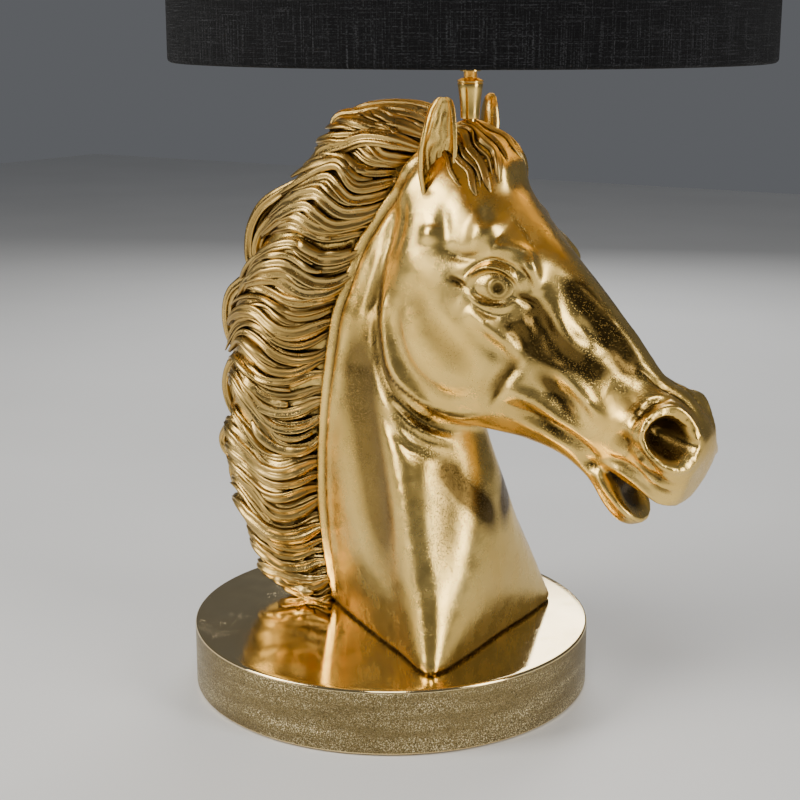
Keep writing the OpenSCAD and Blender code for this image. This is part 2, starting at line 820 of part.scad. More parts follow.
horse_head();
base_casting();
cover_plate();
felt_pad();
cover_screws();
head_screws();
threaded_tube();
tube_nuts();
tube_washer();
poll_collar();
seat_washer();
holder_cup();
holder_shell();
holder_insert();
screw_shell();
centre_contact();
holder_terminals();
shade_ring();
live_core();
neutral_core();
terminal_block();
terminal_screws();
block_screw();
earth_tag();
earth_screw();
earth_core();
inlet_bush();
shade_cover();
shade_lining();
shade_top_wire();
shade_carrier();
bulb_glass();
bulb_cap();
bulb_insulator();
bulb_stem();
bulb_filaments();
bulb_tip();
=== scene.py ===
import math
import random
import bmesh
import bpy
import numpy as np
from mathutils import Matrix, Vector, noise
from mathutils.bvhtree import BVHTree


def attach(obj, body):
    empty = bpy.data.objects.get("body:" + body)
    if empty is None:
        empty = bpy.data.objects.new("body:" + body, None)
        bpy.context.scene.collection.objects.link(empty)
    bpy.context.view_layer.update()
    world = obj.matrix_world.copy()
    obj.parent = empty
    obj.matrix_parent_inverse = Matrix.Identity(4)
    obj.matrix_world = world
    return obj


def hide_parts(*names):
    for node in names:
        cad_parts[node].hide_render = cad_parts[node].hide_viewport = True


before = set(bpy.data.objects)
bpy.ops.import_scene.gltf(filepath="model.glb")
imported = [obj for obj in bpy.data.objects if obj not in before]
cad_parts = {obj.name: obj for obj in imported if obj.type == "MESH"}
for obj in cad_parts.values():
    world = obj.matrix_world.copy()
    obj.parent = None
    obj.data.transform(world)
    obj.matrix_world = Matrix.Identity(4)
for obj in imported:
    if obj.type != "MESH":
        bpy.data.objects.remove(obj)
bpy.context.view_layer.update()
print("stage: frame loaded")

mm = 0.001  # the given sizes are in millimetres
scene = bpy.context.scene


# small helpers
def deselectAll():
    if bpy.context.object and bpy.context.object.mode != "OBJECT":
        bpy.ops.object.mode_set(mode="OBJECT")
    bpy.ops.object.select_all(action="DESELECT")


def makeActive(obj):
    deselectAll()
    obj.select_set(True)
    bpy.context.view_layer.objects.active = obj


def addMesh(name, verts, faces):
    mesh = bpy.data.meshes.new(name)
    mesh.from_pydata([tuple(v) for v in verts], [], faces)
    mesh.update()
    obj = bpy.data.objects.new(name, mesh)
    scene.collection.objects.link(obj)
    return obj


def finishModifier(obj, kind, **values):
    modifier = obj.modifiers.new(kind.title(), kind)
    for key, value in values.items():
        setattr(modifier, key, value)
    makeActive(obj)
    bpy.ops.object.modifier_apply(modifier=modifier.name)


def smoothShade(obj, angle=None):
    makeActive(obj)
    if angle is None:
        bpy.ops.object.shade_smooth()
    else:
        bpy.ops.object.shade_smooth_by_angle(angle=math.radians(angle))


def settle(obj):
    # puts the place into the mesh, so the object itself sits at the origin
    makeActive(obj)
    bpy.ops.object.transform_apply(location=True, rotation=True, scale=True)


def joinAll(objs, name):
    deselectAll()
    for o in objs:
        o.select_set(True)
    bpy.context.view_layer.objects.active = objs[0]
    bpy.ops.object.join()
    objs[0].name = name
    objs[0].data.name = name
    return objs[0]


def outward(obj, merge=1e-6):
    makeActive(obj)
    bpy.ops.object.mode_set(mode="EDIT")
    bpy.ops.mesh.select_all(action="SELECT")
    if merge:
        bpy.ops.mesh.remove_doubles(threshold=merge)
    bpy.ops.mesh.normals_make_consistent(inside=False)
    bpy.ops.object.mode_set(mode="OBJECT")


def vertexValues(obj, key):
    out = np.zeros(len(obj.data.vertices) * 3)
    obj.data.vertices.foreach_get(key, out)
    return out.reshape(-1, 3)


def normalsOf(obj):
    return vertexValues(obj, "normal")


def placesOf(obj):
    return vertexValues(obj, "co")


def setPlaces(obj, places):
    obj.data.vertices.foreach_set("co", places.reshape(-1))
    obj.data.update()


def setShadeAttribute(obj, values):
    # how much painted shade each point gets, mostly from how far down in a hollow it is, which the gold finishes
    # read
    obj.data.attributes.new("hollow", "FLOAT", "POINT").data.foreach_set("value", values)


def surfaceTree(obj):
    return BVHTree.FromObject(obj, bpy.context.evaluated_depsgraph_get())


def curve(a, b, c, d, t):
    # the smooth way from b to c, share t along, with a and d on either side
    bend = (2 * a - 5 * b + 4 * c - d) * t ** 2
    return 0.5 * (2 * b + (c - a) * t + bend + (3 * b - a - 3 * c + d) * t ** 3)


def smoothLine(points, steps):
    # a smooth line through given points
    pts = [np.array(p, float) for p in points]
    pts = [2 * pts[0] - pts[1]] + pts + [2 * pts[-1] - pts[-2]]
    out = []
    for i in range(1, len(pts) - 2):
        for k in range(steps):
            out.append(curve(pts[i - 1], pts[i], pts[i + 1], pts[i + 2], k / steps))
    out.append(pts[-2])
    return np.array(out)


def relaxed(line, times=3):
    for step in range(times):
        line[1:-1] = [(line[i - 1] + 2 * line[i] + line[i + 1]) / 4 for i in range(1, len(line) - 1)]
    return line


def tubeFaces(rings, around, capped=True):
    # four-sided faces between rings of points, with a face over each end
    faces = []
    for i in range(rings - 1):
        for j in range(around):
            a, b = i * around + j, i * around + (j + 1) % around
            faces.append((a, b, b + around, a + around))
    if capped:
        faces.append(tuple(range(around - 1, -1, -1)))
        faces.append(tuple((rings - 1) * around + j for j in range(around)))
    return faces


# the camera
viewpoint = {"place": (0.5090, -0.8146, 0.4155), "aim": (-0.5101, 0.8272, -0.2355), "lens": 70.3, "sensor": 36}
cameraData = bpy.data.cameras.new("studioCamera")
cameraData.lens = viewpoint["lens"]
cameraData.sensor_width = viewpoint["sensor"]
camera = bpy.data.objects.new("studioCamera", cameraData)
camera.location = viewpoint["place"]
camera.rotation_euler = Vector(viewpoint["aim"]).to_track_quat("-Z", "Y").to_euler()
scene.collection.objects.link(camera)
scene.camera = camera


# the finishes
class Recipe:
    # a node tree built a line at a time
    def __init__(self, name):
        self.material = bpy.data.materials.new(name)
        self.material.use_nodes = True
        self.tree = self.material.node_tree
        self.shader = self.tree.nodes["Principled BSDF"]
        self.coords = self.tree.nodes.new("ShaderNodeTexCoord")

    def link(self, a, b):
        self.tree.links.new(a, b)

    def node(self, kind, **values):
        n = self.tree.nodes.new("ShaderNode" + kind)
        for key, value in values.items():
            setattr(n, key, value)
        return n

    def place(self, scale=(1, 1, 1), source="Object"):
        n = self.node("Mapping")
        self.link(self.coords.outputs[source], n.inputs["Vector"])
        n.inputs["Scale"].default_value = scale
        return n.outputs[0]

    def noise(self, scale, detail=3, rough=0.5, where=None):
        n = self.node("TexNoise")
        self.link(where or self.coords.outputs["Object"], n.inputs["Vector"])
        n.inputs["Scale"].default_value = scale
        n.inputs["Detail"].default_value = detail
        n.inputs["Roughness"].default_value = rough
        return n.outputs["Fac"]

    def cells(self, scale):
        n = self.node("TexVoronoi", feature="F1")
        self.link(self.coords.outputs["Object"], n.inputs["Vector"])
        n.inputs["Scale"].default_value = scale
        return n.outputs["Distance"]

    def wave(self, scale, axis, where, distort, detailScale):
        n = self.node("TexWave", bands_direction=axis)
        self.link(where, n.inputs["Vector"])
        n.inputs["Scale"].default_value = scale
        n.inputs["Distortion"].default_value = distort
        n.inputs["Detail Scale"].default_value = detailScale
        return n.outputs["Fac"]

    def ramp(self, source, low, high, a=0.0, b=1.0):
        n = self.node("MapRange")
        self.link(source, n.inputs["Value"])
        for key, value in (("From Min", low), ("From Max", high), ("To Min", a), ("To Max", b)):
            n.inputs[key].default_value = value
        return n.outputs[0]

    def calc(self, what, a, b):
        n = self.node("Math", operation=what)
        for i, x in enumerate((a, b)):
            if isinstance(x, (int, float)):
                n.inputs[i].default_value = x
            else:
                self.link(x, n.inputs[i])
        return n.outputs[0]

    def blend(self, fac, a, b):
        n = self.node("Mix", data_type="RGBA")
        self.link(fac, n.inputs[0])
        for i, x in ((6, a), (7, b)):
            if isinstance(x, tuple):
                n.inputs[i].default_value = (*x, 1)
            else:
                self.link(x, n.inputs[i])
        return n.outputs[2]

    def attribute(self, name):
        return self.node("Attribute", attribute_name=name).outputs["Fac"]

    def bump(self, height, depth, before=None):
        n = self.node("Bump")
        n.inputs["Distance"].default_value = depth
        n.inputs["Strength"].default_value = 1.0
        self.link(height, n.inputs["Height"])
        if before is not None:
            self.link(before, n.inputs["Normal"])
        return n.outputs[0]

    def finish(self, colour=None, rough=None, normal=None, **sockets):
        s = self.shader.inputs
        for source, key in ((colour, "Base Color"), (rough, "Roughness"), (normal, "Normal")):
            if source is None:
                continue
            if isinstance(source, (tuple, float, int)):
                s[key].default_value = (*source, 1) if isinstance(source, tuple) else source
            else:
                self.link(source, s[key])
        for key, value in sockets.items():
            s[key.replace("_", " ")].default_value = value
        return self.material


goldLook = {
    "bright": (0.93, 0.655, 0.205),
    "deep": (0.80, 0.515, 0.125),
    # dark tone for the pit marks, and for the painted shade and dark reflections
    "darkPaint": (0.075, 0.042, 0.010),
    "cloudScale": 14,
    "smearScale": 60,
    "patchScale": 38,
    "grainScale": 1300,
    "pitScale": 900,
    "roughLow": 0.19,
    "roughHigh": 0.33,
}


def castGold(name, look, pitDepth=0.00028, grainDepth=0.00008, paintsShade=True):
    r = Recipe(name)
    clouds = r.noise(look["cloudScale"], 4, 0.6)
    grain = r.noise(look["grainScale"], 3, 0.6)
    colour = r.blend(r.ramp(clouds, 0.35, 0.7), look["bright"], look["deep"])
    pits = r.cells(look["pitScale"])
    dots = r.ramp(pits, 0.0, 0.32, 1.0, 0.0)
    patches = r.ramp(r.noise(look["patchScale"], 5, 0.65), 0.52, 0.66)
    if paintsShade:
        hollow = r.attribute("hollow")
        patches = r.calc("MAXIMUM", r.calc("MULTIPLY", patches, 0.45), r.ramp(hollow, 0.08, 0.7))
        # painted shade and dark reflections: the higher a point's shade value, the nearer its colour goes to the
        # dark tone
        colour = r.blend(r.ramp(hollow, 0.2, 0.9, 0.0, 0.93), colour, look["darkPaint"])
    marks = r.calc("MULTIPLY", dots, patches)
    colour = r.blend(r.calc("MULTIPLY", marks, 0.75), colour, look["darkPaint"])
    smears = r.ramp(r.noise(look["smearScale"], 5, 0.6), 0.3, 0.7, look["roughLow"], look["roughHigh"])
    rough = r.calc("ADD", smears, r.calc("MULTIPLY", marks, 0.3))
    normal = r.bump(grain, grainDepth)
    normal = r.bump(r.calc("MULTIPLY", marks, -1.0), pitDepth, normal)
    return r.finish(colour, rough, normal, Metallic=1.0)


headGold = castGold("polishedCastGold", goldLook)


# the horse's listed sections, in mm: back point, front point, then (share of the way, half width);
# every section closes to nothing at both ends
neckSections = [
    ((-48, 38), (80, 38), [(0.1, 9), (0.4, 35), (0.7, 59), (0.97, 81), (1.01, 50)]),
    ((-57, 84), (82, 84), [(0.08, 9), (0.35, 31), (0.6, 49), (0.87, 66), (0.98, 38)]),
    ((-60, 138), (76, 136), [(0.08, 10), (0.3, 29), (0.52, 42), (0.76, 51), (0.93, 32)]),
    ((-55, 188), (64, 176), [(0.08, 11), (0.28, 27), (0.5, 36), (0.68, 39), (0.88, 28)]),
    ((-47, 232), (62, 212), [(0.08, 11), (0.25, 23), (0.5, 32), (0.7, 34), (0.9, 26)]),
    ((-33, 270), (64, 246), [(0.1, 11), (0.3, 22), (0.55, 30), (0.75, 31), (0.92, 22)]),
    ((-12, 306), (66, 284), [(0.1, 10), (0.3, 19), (0.55, 26), (0.75, 26), (0.92, 18)]),
    ((10, 334), (66, 318), [(0.1, 9), (0.3, 16), (0.55, 21), (0.75, 20), (0.92, 12)]),
    ((30, 352), (64, 344), [(0.1, 6), (0.3, 11), (0.55, 14), (0.75, 13), (0.92, 8)]),
]
faceSections = [
    ((54, 361), (6, 322), [(0.04, 10), (0.25, 17), (0.45, 21), (0.7, 20), (0.94, 9)]),
    ((74, 347), (6, 290), [(0.03, 13), (0.2, 25), (0.42, 30), (0.7, 28), (0.94, 13)]),
    ((91, 321), (4, 256), [(0.03, 16), (0.17, 33), (0.4, 36), (0.68, 36), (0.95, 22)]),
    ((107, 301), (12, 216), [(0.03, 16), (0.12, 35), (0.34, 38), (0.66, 40), (0.94, 29)]),
    ((123, 285), (38, 184), [(0.02, 11), (0.11, 26), (0.32, 36), (0.62, 40), (0.94, 29)]),
    ((142, 265), (76, 177), [(0.02, 7.5), (0.14, 18), (0.38, 28), (0.66, 33), (0.94, 24)]),
    ((163, 242), (110, 172), [(0.03, 7), (0.2, 16.5), (0.45, 22), (0.68, 23), (0.93, 16)]),
    ((182, 220), (140, 166), [(0.04, 10), (0.2, 24), (0.42, 27), (0.7, 24), (0.93, 16)]),
    ((199, 210), (164, 155), [(0.05, 18), (0.22, 35), (0.42, 35), (0.7, 25), (0.93, 18)]),
    ((211, 193), (184, 143), [(0.06, 17), (0.25, 31), (0.45, 31), (0.7, 24), (0.93, 17)]),
    ((213, 180), (197, 142), [(0.06, 9), (0.25, 17), (0.45, 17), (0.7, 16), (0.93, 10)]),
]
jawSections = [
    ((104, 196), (96, 174), [(0.05, 12), (0.3, 18), (0.6, 18), (0.95, 10)]),
    ((134, 182), (122, 167), [(0.05, 11), (0.3, 17), (0.6, 17), (0.95, 9)]),
    ((154, 168), (141, 155), [(0.05, 14), (0.3, 20), (0.6, 19), (0.95, 9)]),
    ((168, 152), (150, 140), [(0.05, 15), (0.3, 20), (0.6, 19), (0.95, 9)]),
    ((177, 138), (158, 128), [(0.05, 12), (0.3, 16), (0.6, 15), (0.95, 7)]),
    ((178, 131), (168, 126), [(0.05, 5), (0.3, 8), (0.6, 8), (0.95, 4)]),
]
maneSections = [
    ((-46, 41), (-76, 42), [(0.1, 7), (0.4, 10), (0.7, 8), (0.95, 3)]),
    ((-52, 66), (-106, 63), [(0.08, 10), (0.4, 17), (0.7, 16), (0.95, 7)]),
    ((-54, 100), (-122, 96), [(0.06, 12), (0.4, 21), (0.7, 20), (0.95, 8)]),
    ((-54, 140), (-128, 136), [(0.06, 13), (0.4, 23), (0.7, 22), (0.95, 9)]),
    ((-50, 182), (-126, 178), [(0.06, 14), (0.4, 24), (0.7, 23), (0.95, 9)]),
    ((-42, 222), (-122, 224), [(0.06, 14), (0.4, 25), (0.7, 24), (0.95, 9)]),
    ((-30, 258), (-106, 266), [(0.06, 14), (0.4, 25), (0.7, 24), (0.95, 9)]),
    ((-12, 290), (-84, 302), [(0.06, 13), (0.4, 24), (0.7, 22), (0.95, 8)]),
    ((6, 320), (-60, 334), [(0.06, 11), (0.4, 21), (0.7, 19), (0.95, 7)]),
    ((24, 342), (-38, 357), [(0.06, 9), (0.4, 15), (0.7, 13), (0.95, 5)]),
    ((40, 352), (-8, 366), [(0.06, 6), (0.4, 9), (0.7, 7), (0.95, 3)]),
]


def loftedSkin(name, sections, along, around, thin=0.0):
    # sections become smooth rings, mirrored about the middle plane, then one closed skin
    halves = []
    for back, front, half in sections:
        halves.append(np.array([(back[0] + q * (front[0] - back[0]), max(w - (thin if w else 0), 0),
                                 back[1] + q * (front[1] - back[1])) for q, w in [(0, 0)] + half + [(1, 0)]]))
    flip = np.array([1, -1, 1])
    rounds = []
    for h in halves:
        pts = [h[1] * flip] + list(h) + [h[-2] * flip]
        line = []
        for i in range(1, len(pts) - 2):
            for k in range(around):
                line.append(curve(pts[i - 1], pts[i], pts[i + 1], pts[i + 2], k / around))
        line.append(pts[-2])
        rounds.append(np.array(line))
    rings = []
    last = len(rounds) - 1
    for i in range(last):
        a, b, c, d = (rounds[max(0, min(last, i + k))] for k in (-1, 0, 1, 2))
        for k in range(along):
            rings.append(curve(a, b, c, d, k / along))
    rings.append(rounds[-1])
    whole = [np.vstack([r, r[-2:0:-1] * flip]) for r in rings]
    obj = addMesh(name, np.vstack(whole) * mm, tubeFaces(len(whole), len(whole[0])))
    outward(obj)
    return obj


def ballHull(name, balls):
    # the stretched skin over some balls (x, y, z, r), in mm
    bm = bmesh.new()
    for x, y, z, r in balls:
        place = Matrix.Translation((x * mm, y * mm, z * mm))
        bmesh.ops.create_icosphere(bm, subdivisions=3, radius=r * mm, matrix=place)
    hull = bmesh.ops.convex_hull(bm, input=bm.verts)
    spare = [g for g in hull["geom_interior"] + hull["geom_unused"] if isinstance(g, bmesh.types.BMVert)]
    bmesh.ops.delete(bm, geom=list(set(spare)), context="VERTS")
    bm.normal_update()
    mesh = bpy.data.meshes.new(name)
    bm.to_mesh(mesh)
    bm.free()
    obj = bpy.data.objects.new(name, mesh)
    scene.collection.objects.link(obj)
    outward(obj)
    return obj


def pairs(*balls):
    # each ball and its mirror image
    return [(x, y * side, z, r) for x, y, z, r in balls for side in (1, -1)]


headBuild = {
    "voxel": 0.00206,
    "smoothing": 10,
    "edgeSmoothing": 4,
    "chestSmoothing": 220,
    "strokeStep": 1.0,  # mm between the points of a stroke
    "fineEye": (91, 268, 30),  # x, z, radius in mm
    "fineMuzzle": (148, 118),  # ahead of x and above z
    "ripples": ((0.22, 75), (0.08, 240)),  # height in mm, scale
    "chamfer": (43.2, 2, 0.9),  # top, length, depth at the foot of the neck
    "footStain": (43.6, 1.2),
    "mouthFrom": 0.146,
    "mouthShade": (2.8, 4, 0.93),  # painted shade in the mouth and nostrils: depth where it starts, depth to full, most
}

parts = [
    loftedSkin("neckSkin", neckSections, 8, 8),
    loftedSkin("faceSkin", faceSections, 8, 8),
    loftedSkin("jawSkin", jawSections, 6, 6),
    loftedSkin("maneCore", maneSections, 6, 6, thin=4.0),
    ballHull("forelockRoot", pairs((54, 11, 347, 8), (70, 9, 344, 8))),
    ballHull("forelockFall", pairs((70, 9, 344, 8), (79, 10, 333, 8), (84, 12, 322, 5), (72, 21, 321, 5))),
    ballHull("pollPad", [(55, 0, 352, 7.5), (55, 0, 348, 10), (57, 0, 335, 12)]),
]
browBalls = [(88, 31, 280, 5), (103, 27.5, 285, 5), (110, 27, 279, 5), (112, 26, 271, 4)]
for side in (-1, 1):
    parts.append(ballHull("browMass", [(x, side * y, z, r) for x, y, z, r in browBalls]))
casting = joinAll(parts, "horseCasting")
finishModifier(casting, "REMESH", mode="VOXEL", voxel_size=headBuild["voxel"], use_smooth_shade=True)
finishModifier(casting, "SMOOTH", factor=0.5, iterations=headBuild["smoothing"])
print("stage: head skins joined,", len(casting.data.vertices))

uncutTree = surfaceTree(casting)
cutters = [
    ballHull("mouthFront",
             pairs((157, 19, 164, 1.6), (194, 24, 141, 4.5), (175, 21, 143, 2.2)) + [(208, 0, 131, 6)]),
    ballHull("mouthFloor", pairs((166, 9, 150, 4), (172, 6, 140, 4))),
    ballHull("palate", pairs((170, 11, 158, 4), (190, 10, 150, 4))),
]
nostrilBalls = [(191, 38, 193, 4), (194, 33, 199, 4), (199, 26, 202, 4), (207, 20, 195, 4.5), (210, 18, 186, 4),
                (207, 26, 180.5, 4), (201, 34, 181, 4), (194, 38, 187, 4), (189, 20, 193, 6)]
for side in (-1, 1):
    cutters.append(ballHull("nostrilHole", [(x, side * y, z, r) for x, y, z, r in nostrilBalls]))
for cutter in cutters:
    finishModifier(casting, "BOOLEAN", operation="DIFFERENCE", object=cutter, solver="EXACT")
    bpy.data.objects.remove(cutter)
finishModifier(casting, "REMESH", mode="VOXEL", voxel_size=headBuild["voxel"], use_smooth_shade=True)
finishModifier(casting, "SMOOTH", factor=0.5, iterations=headBuild["edgeSmoothing"])
print("stage: mouth and nostrils opened,", len(casting.data.vertices))


def refine(obj, wanted):
    # halves the mesh size where wanted(middle) is true
    bm = bmesh.new()
    bm.from_mesh(obj.data)
    faces = [f for f in bm.faces if wanted(f.calc_center_median())]
    edges = list({e for f in faces for e in f.edges})
    bmesh.ops.subdivide_edges(bm, edges=edges, cuts=1, use_grid_fill=True, smooth=0.0)
    bm.to_mesh(obj.data)
    bm.free()
    obj.data.update()


def fineArea(c):
    x, y, z = c.x / mm, abs(c.y) / mm, c.z / mm
    eyeX, eyeZ, radius = headBuild["fineEye"]
    eye = (x - eyeX) ** 2 + (z - eyeZ) ** 2 < radius ** 2 and y > 18
    return eye or (x > headBuild["fineMuzzle"][0] and z > headBuild["fineMuzzle"][1])


chest = casting.vertex_groups.new(name="chest")
for vert in casting.data.vertices:
    # full on the lower front of the neck, fading out backwards, upwards and at the foot
    x, z = vert.co.x / mm, vert.co.z / mm
    share = min(1, max(0, (x - 25) / 25)) * min(1, max(0, (160 - z) / 40)) * min(1, max(0.15, (z - 42) / 30))
    if share > 0:
        chest.add([vert.index], share, "REPLACE")
finishModifier(casting, "SMOOTH", factor=0.5, iterations=headBuild["chestSmoothing"], vertex_group="chest")
refine(casting, fineArea)
print("stage: fine areas,", len(casting.data.vertices))


def laidOn(tree, line):
    # (x, z) or (x, y, z) points in mm, found on the near side of the surface, in metres, with y made positive
    dense = smoothLine(line, 8)
    steps = [dense[0]]
    for p in dense[1:]:
        if np.linalg.norm(p - steps[-1]) >= headBuild["strokeStep"]:
            steps.append(p)
    out = []
    for p in steps:
        x, z = p[0] * mm, p[-1] * mm
        if len(p) == 3:
            found = tree.find_nearest(Vector((x, -abs(p[1]) * mm, z)))[0]
        else:
            found = tree.ray_cast(Vector((x, -0.3, z)), Vector((0, 1, 0)))[0]
            if found is None or found.y > 0:
                found = tree.find_nearest(Vector((x, -0.02, z)))[0]
        out.append((found.x, abs(found.y), found.z))
    return np.array(out)


def strokeField(obj, strokes):
    # each stroke: (line, width in mm, strength); the strengths at each vertex are added up
    tree = surfaceTree(obj)
    folded = placesOf(obj)
    folded[:, 1] = np.abs(folded[:, 1])
    field = np.zeros(len(folded))
    for line, width, height in strokes:
        path = laidOn(tree, line) if len(line) > 1 else laidOn(tree, [line[0], line[0]])
        reach = 2.6 * width * mm
        low, high = path.min(0) - reach, path.max(0) + reach
        near = np.where(np.all((folded > low) & (folded < high), axis=1))[0]
        if not len(near):
            continue
        count = len(path)
        fromEnds = np.minimum(np.arange(count) + 1, count - np.arange(count))
        fade = np.minimum(1, fromEnds / max(1, min(9, count / 2.5)))
        best = np.full(len(near), 1e9)
        gain = np.zeros(len(near))
        here = folded[near]
        for j in range(max(1, count - 1)):
            a = path[j]
            b = path[min(j + 1, count - 1)]
            ab = b - a
            t = np.clip(((here - a) @ ab) / max(ab @ ab, 1e-12), 0, 1)
            d = np.linalg.norm(here - a - t[:, None] * ab, axis=1)
            closer = d < best
            best[closer] = d[closer]
            strength = fade[j] + t * (fade[min(j + 1, count - 1)] - fade[j])
            gain[closer] = strength[closer]
        field[near] += height * gain * np.exp(-(best / (width * mm)) ** 2)
    return field


def sculpt(obj, strokes):
    # a strength is a height in mm: above the surface is a ridge, below it a groove
    move = strokeField(obj, strokes) * mm
    setPlaces(obj, placesOf(obj) + normalsOf(obj) * move[:, None])
    return move


# broad forms first: (points (x, z) in mm, width, height)
broadForms = [
    ([(76, 256), (88, 247), (98, 238), (108, 226)], 5.5, 4.2),  # facial crest
    ([(86, 240), (97, 230), (105, 220)], 6, -2.0),
    ([(104, 246), (108, 238), (112, 228)], 4, -3.0),
    ([(111, 264), (117, 248), (126, 232)], 7.5, -5.0),  # hollow below the eye
    ([(121, 266), (126, 250), (134, 238), (143, 231)], 5.2, 4.0),  # nasal muscle
    ([(133, 252), (142, 243), (152, 232)], 4.5, -2.4),
    ([(119, 17, 284), (133, 12, 269), (147, 9, 256), (163, 8, 240), (177, 9, 225)], 5, 1.6),
    ([(74, 303), (84, 300), (92, 295)], 12, 4.2),  # temple
    ([(57, 290), (66, 285), (78, 284), (90, 289)], 3.6, -2.6),
    ([(57, 314), (58, 302), (61, 290)], 4, -1.4),
    ([(48, 302), (50, 290)], 6, 2.4),
    ([(36, 272), (40, 256), (52, 240), (69, 224), (84, 212)], 11, -2.2),  # sweep across the cheek
    ([(17, 262), (15, 250), (16, 233), (23, 214), (36, 200), (51, 190), (68, 187), (86, 192)],
     3.6, 2.4),  # cheek rim
    ([(27, 256), (26, 238), (33, 219), (46, 206), (62, 200), (82, 203)], 5, -1.8),
    ([(9, 268), (6, 250), (7, 230), (14, 208), (28, 192), (46, 181), (64, 177)], 4.6, -3.4),  # cheek against neck
    ([(109, 228), (103, 221), (96, 213), (91, 204), (90, 196)], 4.8, -3.6),  # crease before the cheek
    ([(117, 228), (128, 222), (138, 213), (149, 204), (158, 196)], 5, 3.2),  # muscle band to the mouth
    ([(118, 212), (128, 207), (141, 199)], 6.5, -3.8),
    ([(98, 207), (112, 204), (129, 193), (150, 181)], 4, 2.6),
    ([(96, 199), (116, 191), (141, 179), (153, 172)], 3.5, -3.0),
    ([(98, 191), (118, 182), (140, 171)], 3.8, 2.0),
    ([(6, 203), (30, 164), (50, 109), (70, 52)], 13, 1.8),  # long ridge down the neck
    ([(-6, 240), (-8, 210), (4, 170), (18, 120), (26, 70)], 20, -4.5),
    ([(17, 312), (12, 288), (7, 268), (0, 245), (-3, 226)], 4, -2.2),
    ([(27, 313), (26, 296), (20, 275)], 3.5, -1.6),
    ([(46, 172), (60, 150), (66, 110), (72, 70)], 14, -3.0),
    ([(150, 246), (160, 232), (172, 218)], 7, -2.0),  # flat beside the nose bridge
    ([(158, 214), (171, 210), (178, 202)], 8, -2.4),
    ([(166, 190), (176, 182)], 6.5, -3.4),  # hollow behind the nostril
]
# then the fine ones, in the same order of values
fineForms = [
    ([(26, 192), (42, 180), (58, 172)], 2.0, -2.0),  # throat folds
    ([(30, 194), (45, 184), (60, 177)], 2.0, 1.4),
    ([(22, 186), (40, 173), (57, 165)], 2.2, -1.6),
    ([(24, 190), (41, 177), (58, 168)], 1.8, 1.2),
    ([(14, 188), (34, 168), (54, 158)], 2.6, -1.2),
    ([(72, 267), (77, 273), (84, 278), (92, 280), (100, 277), (105, 271), (107, 264)], 1.7, 3.0),  # upper lid
    ([(74, 273), (81, 281), (91, 284), (101, 281), (108, 274)], 1.3, -1.6),
    ([(86, 289), (97, 291), (107, 288), (113, 279), (115, 268)], 4.2, 1.9),  # brow
    ([(104, 281), (110, 275), (112, 266)], 1.5, -1.8),
    ([(75, 265), (82, 260), (90, 257), (98, 257), (104, 261)], 1.4, 2.2),  # lower lid
    ([(77, 261), (85, 255), (94, 252), (103, 255)], 1.5, -0.8),
    ([(64, 271), (70, 269), (75, 267)], 2.0, -2.6),
    ([(104, 263), (109, 260), (113, 257)], 1.7, -2.4),
    ([(82, 268), (99, 267)], 7.0, -4.0),
    ([(185, 38, 191), (187, 33, 203), (195, 23, 209), (206, 15, 203), (213, 10, 189)], 1.7, 1.9),  # nostril rim
    ([(185, 38, 191), (190, 38, 181), (201, 34, 175), (210, 24, 174), (214, 13, 180)], 1.7, 1.3),
    ([(175, 36, 196), (179, 32, 209), (188, 22, 216), (201, 12, 211)], 2.4, -2.4),
    ([(177, 38, 186), (184, 40, 175), (197, 36, 168)], 2.8, -2.2),
    ([(176, 179), (184, 172), (194, 168), (203, 164)], 2.4, -2.2),
    ([(186, 163), (193, 161), (199, 158)], 2.8, -1.8),
    ([(184, 167), (193, 164), (201, 160)], 1.6, 1.2),
    ([(188, 17, 215), (197, 17, 211), (205, 14, 204)], 3.0, 1.8),
    ([(153, 170), (166, 168), (180, 161), (190, 153), (198, 148)], 2.4, 2.0),  # upper lip
    ([(160, 175), (176, 171), (190, 162)], 2.2, -2.0),
    ([(152, 166), (155, 158), (163, 147), (171, 137), (177, 131)], 2.4, 2.6),  # lower lip
    ([(147, 162), (154, 148), (164, 137)], 2.4, -2.0),
    ([(144, 169), (151, 166)], 2.6, -2.2),
    ([(170, 9, 225), (184, 8, 217), (195, 7, 211), (207, 6, 200)], 2.4, -2.8),  # groove over the nose
]
